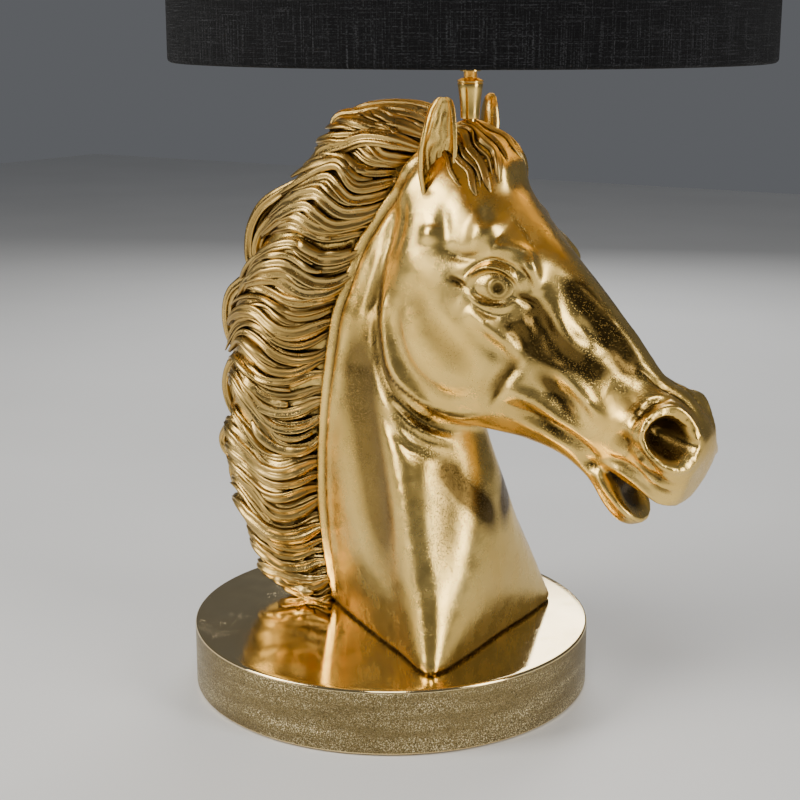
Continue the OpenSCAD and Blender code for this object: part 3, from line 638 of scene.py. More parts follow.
# painted shade and dark reflections, laid in the casting's hollows and broad dark patches: (line, width, strength)
paintedShadeForms = [
    ([(106, 259), (113, 249), (120, 240), (129, 231), (140, 222)], 10.5, 1.6),  # under the eye
    ([(95, 251), (104, 243), (112, 235), (124, 227)], 6, 1.2),
    ([(124, 15, 276), (133, 13, 267), (141, 12, 259), (149, 12, 249), (157, 13, 239), (166, 14, 229),
      (178, 16, 218)], 7.5, 1.5),  # beside the nose
    ([(131, 230), (145, 224), (158, 220)], 6.5, 1.25),
    ([(107, 228), (100, 219), (93, 207), (86, 195)], 2.2, 1.3),
    ([(115, 222), (124, 211), (134, 200), (143, 192)], 5.0, 1.35),
    ([(103, 207), (114, 195), (124, 185), (142, 176)], 3.0, 1.1),
    ([(12, 222), (19, 209), (32, 199), (47, 191), (67, 188), (84, 192)], 1.8, 1.2),  # under the cheek
    ([(18, 194), (31, 184), (45, 176), (57, 170)], 1.8, 1.1),
    ([(55, 28, 165), (60, 29, 152), (68, 24, 139), (76, 12, 125), (80, 2, 106)], 10, 1.3),  # throat
    ([(104, 284), (110, 277), (113, 268)], 1.8, 1.1),
    ([(73, 268), (78, 274), (86, 278), (95, 278), (102, 273), (105, 266)], 1.5, 1.3),  # round the eyeball
    ([(75, 264), (83, 259), (91, 258), (99, 259), (105, 264)], 1.3, 1.1),
    ([(74, 273), (81, 281), (91, 285), (101, 282)], 1.1, 0.9),
    ([(62, 273), (69, 270), (75, 267)], 2.6, 1.5),
    ([(105, 265), (110, 262), (115, 258)], 2.6, 1.4),
    ([(64, 286), (72, 285), (82, 287)], 2.5, 0.8),
    ([(88, 22, 316), (102, 20, 300), (112, 21, 288)], 2.5, 0.6),
    ([(40, 318), (49, 319)], 3, 1.1),
    ([(176, 179), (184, 172), (194, 168), (203, 164)], 2.2, 0.9),
    ([(186, 163), (193, 161), (199, 158)], 2.2, 0.8),
    ([(159, 173), (170, 171), (180, 166)], 1.6, 0.9),
    ([(175, 36, 196), (179, 32, 209), (188, 22, 216)], 2.2, 1.1),
    ([(177, 38, 186), (184, 40, 175), (197, 36, 168)], 2.4, 1.0),
    ([(170, 9, 225), (184, 8, 217), (195, 7, 211), (207, 6, 200)], 2.0, 0.9),
    ([(145, 169), (152, 165)], 2.2, 1.2),
]
crestLine = [(-48, 42), (-50, 60), (-55, 100), (-54, 140), (-49, 180), (-45, 205), (-40, 236), (-31, 260),
             (-23, 280), (-9, 300), (8, 320), (24, 338)]


def shifted(line, ahead):
    return [(x + ahead, z) for x, z in line]


broadForms += [
    (shifted(crestLine, 1), 2.0, -2.0),
    (shifted(crestLine, 5), 2.6, 1.4),
    (shifted(crestLine, 11), 3.4, -2.6),
    (shifted(crestLine, 18), 5, 1.2),
]
# painted shade along the grooves beside the crest
paintedShadeForms += [(shifted(crestLine, 1), 2.0, 1.2), (shifted(crestLine, 12), 3.2, 0.85)]
broadDepth = -sculpt(casting, broadForms)
fineDepth = -sculpt(casting, fineForms)
finishModifier(casting, "SMOOTH", factor=0.35, iterations=2)
co = placesOf(casting)
push = np.array([sum(h * noise.noise(Vector(p) * s) for h, s in headBuild["ripples"]) for p in co])
co += normalsOf(casting) * push[:, None] * mm
setPlaces(casting, co)
heights = co[:, 2] / mm
sideways = normalsOf(casting) * (1, 1, 0)
top, length, depth = headBuild["chamfer"]  # where the neck meets the base
co -= sideways * (np.clip((top - heights) / length, 0, 1) * depth * mm)[:, None]
setPlaces(casting, co)
inside = np.zeros(len(co))  # depth in the mouth and nostrils, which sets their painted shade
for i in np.where(co[:, 0] > headBuild["mouthFrom"])[0]:
    inside[i] = uncutTree.find_nearest(Vector(co[i]))[3]
start, length, most = headBuild["mouthShade"]
inside = np.clip((inside / mm - start) / length, 0, most)
# painted shade and dark reflections from the listed strokes
darkPaint = np.clip(strokeField(casting, paintedShadeForms), 0, 1)
# painted shade in the carved grooves, from how deep they were cut
cutIn = np.clip((broadDepth + fineDepth * 1.2) / (4.0 * mm), 0, 0.8)
top, length = headBuild["footStain"]
# the casting's painted shade: carved grooves, painted strokes and mouth depth, with the dark joint line at the
# foot
cutIn = np.maximum.reduce([cutIn, darkPaint, inside, np.clip((top - heights) / length, 0, 1)])
casting.data.materials.append(headGold)
smoothShade(casting)
print("stage: head sculpted,", len(casting.data.polygons))
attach(casting, "lamp")
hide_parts("horse_head")


# the mane: grooved locks laid over its core, from the crest to the outer edge
maneLook = {
    "firstLevel": 0.12,  # levels count the listed sections upwards
    "lastLevel": 9.9,
    "lockStep": 0.235,
    "stray": 0.03,
    "wisps": 46,
    "halfWidth": 5.8,
    "halfHeight": 5.2,
    "grooves": 7,
    "grooveDepth": 0.19,
    "around": 38,
    "along": 40,
    "tilt": 0.45,
    "seed": {-1: 11, 1: 23},
}
shares = [0.0, 0.12, 0.25, 0.4, 0.55, 0.7, 0.82, 0.92, 1.04]
waves = {
    # height of the lock above its own root line, in mm, at each share of the way out
    0.0: [0, -3, -4, -2, 2, 6, 8, 8, 6],
    3.6: [0, -4.5, -6, -3, 6, 14, 19, 19, 13],
    4.4: [0, -5, -6, -4, 1, 6, 8, 4, -3],
    5.2: [0, -5, -6, -3, 1, 1, -3, -10, -18],
    6.2: [0, -6, -8, -5, -3, -6, -11, -18, -26],
    7.2: [0, -7, -10, -7, -5, -11, -18, -26, -34],
    8.2: [0, -4, -6, -1, 2, -4, -11, -19, -26],
    9.0: [0, -2, -3, 2, 3, -1, -5, -9, -12],
    10.0: [0, 1, 2, 1, -1, 0, 3, 5, 5],
}
bulgeShares = [-0.1, 0.0, 0.1, 0.25, 0.4, 0.6, 0.75, 0.88, 0.97, 1.04, 1.12]
bulge = [0.22, 0.38, 0.64, 0.88, 0.97, 0.95, 0.84, 0.62, 0.38, 0.2, 0.1]
# how far the locks reach at each level, which gives the outline its bulges and notches
reachLevels = [0, 1.5, 2.5, 3.1, 3.7, 4.25, 5.0, 5.85, 6.7, 7.6, 9, 10]
reaches = [0.95, 0.97, 1.0, 0.92, 0.98, 0.86, 0.98, 0.86, 0.98, 0.93, 0.96, 1.0]


def maneAt(level, share):
    # a point on the mane's near surface in mm: level counts the listed sections upwards
    level = min(max(level, 0.0), len(maneSections) - 1.001)
    i = int(level)
    ends = []
    for back, front, half in maneSections[i:i + 2]:
        widest = max(w for q, w in half)
        ends.append(np.array([back[0] + share * (front[0] - back[0]),
                              widest * np.interp(share, bulgeShares, bulge),
                              back[1] + share * (front[1] - back[1])]))
    return ends[0] + (level - i) * (ends[1] - ends[0])


waveLines = {k: smoothLine(list(zip(shares, waves[k])), 8) for k in sorted(waves)}


def waveAt(level, share):
    table = [np.interp(share, line[:, 0], line[:, 1]) for line in waveLines.values()]
    return float(np.interp(level, list(waveLines), table))


def sweptLock(path, outs, widths, heights, look, turn, phase):
    # a grooved strand along a path, in mm; outs are the directions away from the body
    path = np.array(path)
    count = len(path)
    tangents = np.gradient(path, axis=0)
    tangents /= np.linalg.norm(tangents, axis=1)[:, None]
    ring = np.linspace(0, 2 * math.pi, look["around"], endpoint=False)
    ripple = 1 - look["grooveDepth"] * (0.5 - 0.5 * np.cos(look["grooves"] * ring + phase)) ** 0.7 * 1.6
    verts = []
    # painted shade along each lock: darker in its grooves and on the side that faces the body
    undersideShade = np.clip(0.15 - np.sin(ring), 0, 1) * 0.9
    lockShade = np.clip((1 - ripple) / look["grooveDepth"] * 0.5 + undersideShade, 0, 1).tolist() * count
    for i in range(count):
        t = tangents[i]
        out = outs[i] - t * (outs[i] @ t)
        out /= np.linalg.norm(out)
        across = np.cross(t, out)
        c, s = math.cos(turn), math.sin(turn)
        wide, high = across * c + out * s, out * c - across * s
        for k, angle in enumerate(ring):
            offset = wide * math.cos(angle) * widths[i] + high * math.sin(angle) * heights[i]
            verts.append((path[i] + offset * ripple[k]) * mm)
    return verts, tubeFaces(count, look["around"]), lockShade


def addLocks(name, locks, material):
    verts, faces, lockShade = [], [], []
    for v, f, d in locks:
        base = len(verts)
        verts += v
        lockShade += d
        faces += [tuple(base + k for k in face) for face in f]
    obj = addMesh(name, verts, faces)
    setShadeAttribute(obj, lockShade)
    outward(obj, merge=None)
    smoothShade(obj)
    obj.data.materials.append(material)
    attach(obj, "lamp")
    return obj


def strandProfile(u, tip):
    # thickness along a lock: rises from the root, full in the middle, fine at the tip
    return (0.45 + 0.55 * min(1, u / 0.2)) * (1 if u < 0.7 else max(tip, 1 - ((u - 0.7) / 0.3) ** 1.8 * (1 - tip)))


def tapered(size, count, tip):
    return [size * strandProfile(i / (count - 1), tip) for i in range(count)]


def maneLock(level, side, rnd, look, wisp=False):
    swing = rnd.uniform(0.85, 1.15)
    reach = float(np.interp(level, reachLevels, reaches)) * rnd.uniform(0.96, 1.04)
    clump = math.sin(level * 4.3 + 0.7 * side) + 0.6 * math.sin(level * 9.7 + side)
    swing *= 1.12 + 0.26 * clump
    lift = rnd.uniform(-1.8, 1.8) + 1.5 * clump + (2.2 if wisp else 0)
    drift = rnd.uniform(-0.04, 0.04) + 0.045 * clump
    reach -= 0.035 * clump + 0.02
    start = rnd.uniform(0.02, 0.25) if wisp else -0.09
    if wisp:
        reach = min(1.05, start + rnd.uniform(0.45, 0.85))
    path, outs = [], []
    count = look["along"]
    for i in range(count):
        u = i / (count - 1)
        share = start + u * (reach - start)
        rise = waveAt(level, max(0, share + drift)) * swing
        place = level + rise / 36  # the sections stand about 36 mm apart
        here = maneAt(place, share)
        outwards = maneAt(place, share + 0.02) - maneAt(place, share - 0.02)
        upwards = maneAt(place + 0.1, share) - maneAt(place - 0.1, share)
        out = np.cross(outwards, upwards)
        out = out if out[1] > 0 else -out
        out /= np.linalg.norm(out)
        rolled = max(0, (share - 0.9) / 0.15)
        here = here + out * (lift - 1.0 + 1.4 * math.sin(u * 9 + level * 2.1)) - out * 2.0 * rolled
        path.append(here * (1, side, 1))
        outs.append(out * (1, side, 1))
    scale = (rnd.uniform(0.3, 0.6) if wisp else 1.0) * rnd.uniform(0.75, 1.4)
    widths = tapered(look["halfWidth"] * scale, count, 0.22)
    heights = tapered(look["halfHeight"] * scale, count, 0.3)
    return sweptLock(relaxed(path), outs, widths, heights, look, side * look["tilt"], rnd.uniform(0, 6))


maneGold = castGold("antiqueManeGold", dict(goldLook, bright=(0.70, 0.49, 0.17), deep=(0.50, 0.32, 0.09),
                                            roughLow=0.22, roughHigh=0.36))
for side, word in ((-1, "Near"), (1, "Far")):
    rnd = random.Random(maneLook["seed"][side])
    locks = []
    level, stray, wisps = maneLook["firstLevel"], maneLook["stray"], maneLook["wisps"]
    while level < maneLook["lastLevel"]:
        locks.append(maneLock(level + rnd.uniform(-stray, stray), side, rnd, maneLook))
        level += maneLook["lockStep"]
    thin = dict(maneLook, around=12, along=30, grooves=3)
    for k in range(wisps):
        locks.append(maneLock(0.3 + 9.2 * (k + rnd.random()) / wisps, side, rnd, thin, wisp=True))
    addLocks("maneLocks" + word, locks, maneGold)
print("stage: mane laid")


def handLock(points, width, height, look, out, phase, tip=0.25):
    path = smoothLine(points, max(2, look["along"] // (len(points) - 1)))
    outs = [np.array(out, float)] * len(path)
    return sweptLock(path, outs, tapered(width, len(path), tip), tapered(height, len(path), tip), look, 0.0, phase)


topLocks = [
    # points (x, y, z), half width, half height, the way it faces
    ([(40, 5, 352), (22, 7, 361), (2, 8, 363), (-18, 7, 360), (-32, 5, 358), (-37, 4, 352), (-31, 4, 348)],
     6, 5, (0.1, 0.5, 1)),
    ([(36, 10, 348), (16, 13, 354), (-4, 13, 354), (-22, 10, 350), (-36, 7, 347), (-41, 6, 341)],
     6, 5, (0, 1, 0.6)),
    ([(32, 14, 342), (14, 18, 347), (-6, 18, 348), (-24, 15, 343), (-42, 11, 338), (-50, 8, 330)],
     6, 5, (0, 1, 0.4)),
    ([(44, 0, 354), (26, 0, 364), (4, 0, 366), (-16, 0, 364), (-30, 0, 361)], 6, 4.5, (0, 0.05, 1)),
]
# curled lock ends that make the rolled outline at the back: points (x, y, z), half width
curlEnds = [
    ([(-58, 10, 320), (-78, 8, 309), (-93, 6, 299), (-103, 4, 284), (-105, 3, 266),
      (-98, 3, 256), (-90, 4, 262)], 5.2),
    ([(-62, 14, 304), (-80, 11, 294), (-92, 9, 283), (-97, 7, 270), (-92, 6, 260)], 4.6),
    ([(-84, 13, 266), (-101, 10, 254), (-117, 7, 243), (-124, 4, 228), (-122, 3, 212),
      (-113, 3, 205), (-106, 4, 212)], 5.4),
    ([(-82, 16, 250), (-98, 13, 241), (-110, 9, 231), (-115, 7, 219), (-109, 7, 210)], 4.6),
    ([(-94, 13, 218), (-107, 10, 205), (-120, 7, 193), (-126, 4, 178), (-123, 3, 164),
      (-115, 3, 158), (-109, 4, 166)], 5.2),
    ([(-92, 15, 202), (-104, 12, 190), (-114, 9, 180), (-118, 7, 168)], 4.2),
    ([(-100, 12, 176), (-112, 9, 163), (-123, 6, 152), (-132, 3, 140), (-127, 3, 131), (-118, 3, 135)], 4.2),
    ([(-100, 11, 148), (-111, 9, 136), (-121, 6, 125), (-121, 3, 111), (-113, 3, 104), (-107, 4, 110)], 4.6),
    ([(-93, 10, 120), (-104, 8, 108), (-111, 5, 95), (-107, 3, 83), (-99, 3, 82)], 4.4),
    ([(-84, 9, 94), (-96, 6, 81), (-97, 4, 68), (-89, 3, 59)], 4.2),
]
forelockLines = [
    # points near the forelock's surface, half width, half height
    ([(56, 5, 358), (65, 5, 357), (73, 8, 351), (80, 7, 344), (85, 9, 337)], 2.8, 1.9),
    ([(54, 8, 356), (62, 9, 354), (69, 12, 348), (76, 11, 341), (81, 14, 333), (84, 17, 325)], 3.1, 2.3),
    ([(51, 12, 352), (59, 13, 350), (65, 17, 343), (72, 16, 335), (77, 20, 326), (80, 21, 319)], 3.1, 2.3),
    ([(49, 15, 346), (55, 17, 344), (60, 21, 337), (67, 20, 330), (71, 24, 322), (73, 24, 316)], 2.9, 2.3),
    ([(52, 10, 354), (61, 11, 352), (68, 15, 345), (75, 13, 337), (79, 17, 329)], 1.4, 2.7),
    ([(50, 14, 348), (57, 16, 346), (63, 20, 338), (70, 18, 330), (74, 22, 321)], 1.4, 2.6),
    ([(48, 18, 341), (53, 20, 337), (58, 24, 329), (65, 24, 321)], 1.7, 2.2),
]
strandLook = dict(maneLook, along=36)
locks = []
for i, (points, width, height, out) in enumerate(topLocks):
    for side in ((-1, 1) if points[0][1] else (1,)):
        locks.append(handLock([(x, y * side, z) for x, y, z in points], width, height, strandLook,
                              (out[0], out[1] * side, out[2]), phase=i))
for i, (points, width) in enumerate(curlEnds):
    for side in (-1, 1):
        locks.append(handLock([(x, y * side, z) for x, y, z in points], width, width * 0.95, strandLook,
                              (-0.45, 0.85 * side, 0.2), phase=i * 2.1, tip=0.3))
addLocks("maneTopLocks", locks, maneGold)
castingTree = surfaceTree(casting)


def huggingLock(points, width, height, look, lift, phase):
    # a strand that lies on the casting's surface
    line = smoothLine(points, max(2, look["along"] // (len(points) - 1)))
    path, outs = [], []
    for p in line:
        place, normal, index, distance = castingTree.find_nearest(Vector(p * mm))
        path.append(np.array(place) / mm + np.array(normal) * lift)
        outs.append(np.array(normal))
    widths, heights = tapered(width, len(path), 0.15), tapered(height, len(path), 0.35)
    return sweptLock(relaxed(path), relaxed(outs), widths, heights, look, 0.2, phase)


locks = []
for i, (points, width, height) in enumerate(forelockLines):
    for side in (-1, 1):
        locks.append(huggingLock([(x, y * side, z) for x, y, z in points], width, height,
                                 dict(strandLook, around=18, grooves=4), 0.1, i * 1.7))
addLocks("forelock", locks, maneGold)
print("stage: forelock laid")


earLook = {
    # share of the height, centre (x, y, z), half width, cup depth
    "stations": [(0.0, (46, 24, 316), 8, 8), (0.2, (49, 28, 329), 11, 9), (0.45, (51, 30.5, 343), 11.5, 8.5),
                 (0.7, (52.5, 31, 356), 10, 7), (0.88, (53, 30, 366), 8, 5.5), (0.96, (53.5, 29, 371.5), 5.4, 3.8),
                 (1.0, (53.5, 29, 373.6), 2.6, 2)],
    "faces": (0.66, 0.75, 0.12),
    "wrap": 108,  # degrees to each side
    "wall": 2.5,
    "across": 44,
}


def earHair(a, share):
    # the ripple of the hair inside the ear, across and up it
    wander = noise.noise(Vector((a * 2.2, share * 6, 3.1)))
    return math.cos(12 * a + 3.5 * math.sin(5 * share) + 6 * wander) * min(1, max(0, 2.2 * math.cos(a) + 0.3))


def makeEar(side, look):
    st = look["stations"]
    keys = [s[0] for s in st]
    middle = smoothLine([s[1] for s in st], 8)
    n = len(middle)
    mouth = np.array(look["faces"])  # the way the cup opens
    mouth /= np.linalg.norm(mouth)
    verts, shades = [], []
    across = look["across"]
    angles = [math.radians(look["wrap"]) * (2 * k / (across - 1) - 1) for k in range(across)]
    for i, c in enumerate(middle):
        u = i / (n - 1)
        share = np.interp(u * (len(st) - 1), range(len(st)), keys)
        width = np.interp(share, keys, [s[2] for s in st])
        depth = np.interp(share, keys, [s[3] for s in st])
        wide = np.cross(mouth, (0, 0, 1))
        wide /= np.linalg.norm(wide)
        wall = min(look["wall"], width * 0.4)
        for inner in (0, 1):
            line = []
            for a in angles:
                w, d = width - wall * inner, depth - wall * inner
                hair = earHair(a, share) if inner else 0
                ridge = 0.5 * hair * (1 - share) ** 0.5
                line.append((c + wide * w * math.sin(a) - mouth * (d + ridge) * math.cos(a)) * (1, side, 1) * mm)
            verts += line if not inner else line[::-1]
            shade = [max(0, math.cos(a)) * (0.75 - 0.4 * share) + 0.45 * max(0, earHair(a, share)) for a in angles]
            shades += shade[::-1] if inner else [0] * across
    ring = across * 2
    faces = tubeFaces(n, ring, capped=False)
    for start in (0, (n - 1) * ring):
        for k in range(across - 1):
            faces.append((start + k, start + k + 1, start + ring - 2 - k, start + ring - 1 - k))
    ear = addMesh("earSkin", verts, faces)
    setShadeAttribute(ear, shades)
    outward(ear)
    return ear


ears = []
for side in (-1, 1):
    ears.append(makeEar(side, earLook))
    ears.append(ballHull("earRoot", [(41, side * 20, 314, 9), (42, side * 22, 326, 7), (40, side * 18, 310, 9)]))
ears = joinAll(ears, "ears")
finishModifier(ears, "SUBSURF", levels=1, render_levels=1)
smoothShade(ears)
ears.data.materials.append(headGold)
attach(ears, "lamp")


# each eye is a ball with a carved ring and pupil
eyeLook = {"centre": (90.5, 25.2, 268), "radius": 13.2, "gaze": (0.34, 0.92, 0.0), "iris": 0.48, "pupil": 0.27,
           "long": 0.34}
eyes = []
for side in (-1, 1):
    bpy.ops.mesh.primitive_uv_sphere_add(segments=64, ring_count=64, radius=eyeLook["radius"] * mm)
    ball = bpy.context.object
    co = placesOf(ball)
    angle = np.arccos(np.clip(co[:, 2] / (eyeLook["radius"] * mm), -1, 1))
    pupil = np.exp(-(angle / eyeLook["pupil"]) ** 4)
    ringCut = np.exp(-((angle - eyeLook["iris"]) / 0.07) ** 2)
    dish = -1.4 * pupil - 0.2 * ringCut - 0.12 * np.exp(-(angle / eyeLook["iris"]) ** 6)
    co[:, 0] *= 1 + eyeLook["long"] * np.clip((angle - eyeLook["iris"]) / 0.6, 0, 1)
    # painted shade on the eyeball: the whole ball a little dark, darkest in the pupil dent and the iris groove
    setShadeAttribute(ball, 0.55 + 1.4 * pupil + 0.6 * ringCut)
    co *= (1 + dish / eyeLook["radius"])[:, None]
    setPlaces(ball, co)
    look = Vector((eyeLook["gaze"][0], eyeLook["gaze"][1] * side, eyeLook["gaze"][2]))
    ball.rotation_euler = look.to_track_quat("Z", "Y").to_euler()
    c = eyeLook["centre"]
    ball.location = (c[0] * mm, c[1] * side * mm, c[2] * mm)
    settle(ball)
    eyes.append(ball)
eyes = joinAll(eyes, "eyeballs")
smoothShade(eyes)
eyes.data.materials.append(headGold)
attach(eyes, "lamp")
print("stage: ears and eyes")


def turnedPiece(name, profile, centreX, steps=128, closed=False):
    # the profile, (radius, height) in mm, is spun round the upright through centreX
    verts = [((centreX + r) * mm, 0, z * mm) for r, z in profile]
    edges = [(i, i + 1) for i in range(len(verts) - 1)] + ([(len(verts) - 1, 0)] if closed else [])
    mesh = bpy.data.meshes.new(name)
    mesh.from_pydata(verts, edges, [])
    obj = bpy.data.objects.new(name, mesh)
    scene.collection.objects.link(obj)
    makeActive(obj)
    bpy.ops.object.mode_set(mode="EDIT")
    bpy.ops.mesh.select_all(action="SELECT")
    bpy.ops.mesh.spin(steps=steps, angle=2 * math.pi, center=(centreX * mm, 0, 0), axis=(0, 0, 1))
    outward(obj, merge=2e-6)
    return obj


baseLook = {"radius": 127, "height": 41, "bevel": 1.6, "foot": 1, "innerRadius": 118, "deck": 35,
            "sideGrain": 520, "sparkleScale": 1500}
radius, height, bevel, foot = (baseLook[key] for key in ("radius", "height", "bevel", "foot"))
bevelled = [(radius - bevel * (1 - math.sin(a)), height - bevel * (1 - math.cos(a)))
            for a in np.linspace(0, math.pi / 2, 7)]
profile = [(r, height) for r in (0, 30, 60, 90, 112, 122)] + bevelled
profile += [(radius, z) for z in (30, 20, 10, 2)] + [(radius - 0.6, foot + 0.1), (radius - 1.2, foot)]
profile += [(baseLook["innerRadius"], foot), (baseLook["innerRadius"], baseLook["deck"]), (0, baseLook["deck"])]
base = turnedPiece("lampBase", profile, 0, 192)
smoothShade(base, 50)
mirrorLook = dict(goldLook, roughLow=0.05, roughHigh=0.12, bright=(0.96, 0.76, 0.40), deep=(0.9, 0.68, 0.32))
topGold = castGold("mirrorGold", mirrorLook, 0.00008, 0.000012, paintsShade=False)


def sparklingSide(name, look):
    r = Recipe(name)
    grain = r.noise(look["sideGrain"], 4, 0.7)
    chips = r.cells(look["sparkleScale"])
    streaks = r.ramp(r.noise(1.0, 3, 0.5, r.place((14, 14, 120))), 0.38, 0.64, 0.15, 1.0)
    speckle = r.calc("MULTIPLY", r.ramp(r.noise(look["sparkleScale"] * 0.9, 2, 0.7), 0.54, 0.6), streaks)
    cloud = r.ramp(r.noise(900, 3, 0.7, r.place((1, 1, 2))), 0.35, 0.65)
    dark = r.blend(cloud, (0.10, 0.072, 0.027), (0.31, 0.23, 0.095))
    colour = r.blend(speckle, dark, (1.0, 0.86, 0.52))
    rough = r.ramp(chips, 0.0, 0.8, 0.14, 0.42)
    normal = r.bump(grain, 0.0005)
    normal = r.bump(chips, 0.0004, normal)
    return r.finish(colour, rough, normal, Metallic=1.0)


sideGold = sparklingSide("sparklingCastSide", baseLook)
base.data.materials.append(topGold)
base.data.materials.append(sideGold)
for face in base.data.polygons:
    # the outer side, between the bevel and the foot
    if abs(face.normal.z) < 0.12 and face.center.z > 0.0025 and math.hypot(face.center.x, face.center.y) > 0.12:
        face.material_index = 1
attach(base, "lamp")
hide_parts("base_casting")

collarLook = {"x": 55, "foot": 360, "top": 383.4}
foot = collarLook["foot"]
profile = [(4.05, 0), (5.1, 0), (5.5, 0.3), (5.6, 1), (5.7, 4), (6.05, 9), (6.5, 13), (7.1, 17), (7.6, 20.1),
           (7.55, 20.4), (7.2, 20.6), (7.2, 21), (7.7, 21.2), (7.8, 21.5), (7.7, 22), (5.4, 23.2)]
profile = [(r, foot + rise) for r, rise in profile] + [(5.1, collarLook["top"]), (4.05, collarLook["top"])]
collar = turnedPiece("pollCollar", profile, collarLook["x"], 96, closed=True)
smoothShade(collar, 35)
satinLook = dict(goldLook, roughLow=0.14, roughHigh=0.22)
satinGold = castGold("satinTurnedGold", satinLook, 0.00003, 0.00001, paintsShade=False)
collar.data.materials.append(satinGold)
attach(collar, "lamp")
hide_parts("poll_collar")

tubeLook = {"bore": 2.6, "radius": 4.0, "low": 14, "high": 398,
            "threadLow": 382.8, "threadHigh": 387.6, "pitch": 0.6}
radius, bore, low, high = (tubeLook[key] for key in ("radius", "bore", "low", "high"))
profile = [(bore, low), (radius, low), (radius, tubeLook["threadLow"] - 0.2)]
z = tubeLook["threadLow"]
while z < tubeLook["threadHigh"]:
    profile += [(3.7, z), (3.98, z + 0.2), (radius, z + 0.35), (3.72, z + 0.55)]
    z += tubeLook["pitch"]
profile += [(radius, tubeLook["threadHigh"] + 0.4), (radius, high), (bore, high)]
tube = turnedPiece("threadedTube", profile, collarLook["x"], 64, closed=True)
smoothShade(tube, 25)
tube.data.materials.append(satinGold)
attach(tube, "lamp")
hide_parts("threaded_tube")
print("stage: base, collar and tube")


shadeLook = {"x": 55, "radius": 175, "low": 393, "high": 613, "wall": 1.0, "wire": 1.4, "roll": 2.55, "steps": 256,
             "lining": 0.5, "thread": 0.00062, "tuckedIn": 14}
ringX = shadeLook["radius"] - shadeLook["roll"]


def rolledEdge(z, up):
    # the cloth carried round the wire and tucked in behind it
    turn = np.radians(np.arange(0, 226, 15))
    outer = [(ringX + shadeLook["roll"] * math.cos(a), z - up * shadeLook["roll"] * math.sin(a)) for a in turn]
    thin = shadeLook["roll"] - 0.7
    inner = [(ringX + thin * math.cos(a), z - up * thin * math.sin(a)) for a in turn]
    return outer, inner


lowOut, lowIn = rolledEdge(shadeLook["low"] + shadeLook["roll"], 1)
highOut, highIn = rolledEdge(shadeLook["high"] - shadeLook["roll"], -1)
wallHeights = np.linspace(shadeLook["low"] + shadeLook["roll"] + 6, shadeLook["high"] - shadeLook["roll"] - 6, 9)
insideRadius = shadeLook["radius"] - shadeLook["wall"]
profile = lowOut[::-1] + [(shadeLook["radius"], z) for z in wallHeights] + highOut
profile += highIn[::-1] + [(insideRadius, z) for z in wallHeights[::-1]] + lowIn
cover = turnedPiece("shadeCover", profile, shadeLook["x"], shadeLook["steps"], closed=True)
smoothShade(cover, 50)


def wrapCloth(obj, centreX):
    # cloth coordinates in metres: round the drum, and up it
    uv = obj.data.uv_layers.new(name="clothMap")
    radius = shadeLook["radius"] * mm
    for face in obj.data.polygons:
        middle = math.atan2(face.center.y, face.center.x - centreX * mm)
        for loop in face.loop_indices:
            p = obj.data.vertices[obj.data.loops[loop].vertex_index].co
            a = math.atan2(p.y, p.x - centreX * mm)
            if a - middle > math.pi:
                a -= 2 * math.pi
            elif middle - a > math.pi:
                a += 2 * math.pi
            uv.data[loop].uv = (a * radius, p.z)


wrapCloth(cover, shadeLook["x"])


def slubCloth(name, look):
    r = Recipe(name)
    cloth = r.place(source="UV")
    threads = 1 / look["thread"] / 6.2832 * 2
    warp = r.wave(threads, "X", cloth, 0.6, 3.0)
    weft = r.wave(threads, "Y", cloth, 0.6, 3.0)
    weave = r.calc("MAXIMUM", warp, weft)
    slubRun = r.noise(1.0, 3, 0.6, r.place((40, 1400, 1), source="UV"))
    slubUp = r.noise(1.0, 3, 0.6, r.place((1300, 26, 1), source="UV"))
    slubs = r.calc("MAXIMUM", r.ramp(slubRun, 0.50, 0.72), r.ramp(slubUp, 0.50, 0.70))
    fibres = r.noise(5200, 2, 0.6, cloth)
    holes = r.ramp(r.calc("ADD", warp, weft), 0.25, 0.8)
    dashes = r.ramp(r.noise(1.0, 3, 0.7, r.place((700, 1100, 1), source="UV")), 0.42, 0.62)
    colour = r.blend(r.calc("MULTIPLY", slubs, dashes), (0.0008, 0.0008, 0.001), (0.06, 0.061, 0.065))
    colour = r.blend(r.calc("MULTIPLY", r.ramp(fibres, 0.55, 0.75), holes), colour, (0.04, 0.041, 0.045))
    height = r.calc("ADD", weave, r.calc("MULTIPLY", slubs, 0.9))
    normal = r.bump(height, 0.00022)
    return r.finish(colour, 0.85, normal, Sheen_Weight=0.02, Sheen_Roughness=0.5, Specular_IOR_Level=0.12)


cover.data.materials.append(slubCloth("blackSlubCloth", shadeLook))
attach(cover, "shade")
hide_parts("shade_cover")

liningLow = shadeLook["low"] + 2 * shadeLook["roll"] + 0.4
liningHigh = shadeLook["high"] - 2 * shadeLook["roll"] - 0.4
liningOut, liningIn = insideRadius - 0.02, insideRadius - shadeLook["lining"]
profile = [(liningOut, z) for z in np.linspace(liningLow, liningHigh, 9)]
profile += [(liningIn, z) for z in np.linspace(liningHigh, liningLow, 9)]
lining = turnedPiece("shadeLining", profile, shadeLook["x"], shadeLook["steps"], closed=True)
smoothShade(lining, 50)
wrapCloth(lining, shadeLook["x"])


def foil(name):
    r = Recipe(name)
    cloth = r.place(source="UV")
    crinkle = r.noise(130, 4, 0.6, cloth)
    brushed = r.noise(1.0, 2, 0.5, r.place((30, 900, 1), source="UV"))
    colour = r.blend(r.ramp(crinkle, 0.3, 0.7), (0.92, 0.66, 0.26), (0.80, 0.54, 0.18))
    normal = r.bump(r.calc("ADD", crinkle, r.calc("MULTIPLY", brushed, 0.3)), 0.00025)
    return r.finish(colour, r.ramp(brushed, 0.3, 0.7, 0.28, 0.42), normal, Metallic=1.0)


lining.data.materials.append(foil("goldFoilLining"))
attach(lining, "shade")
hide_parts("shade_lining")
print("stage: shade covered")


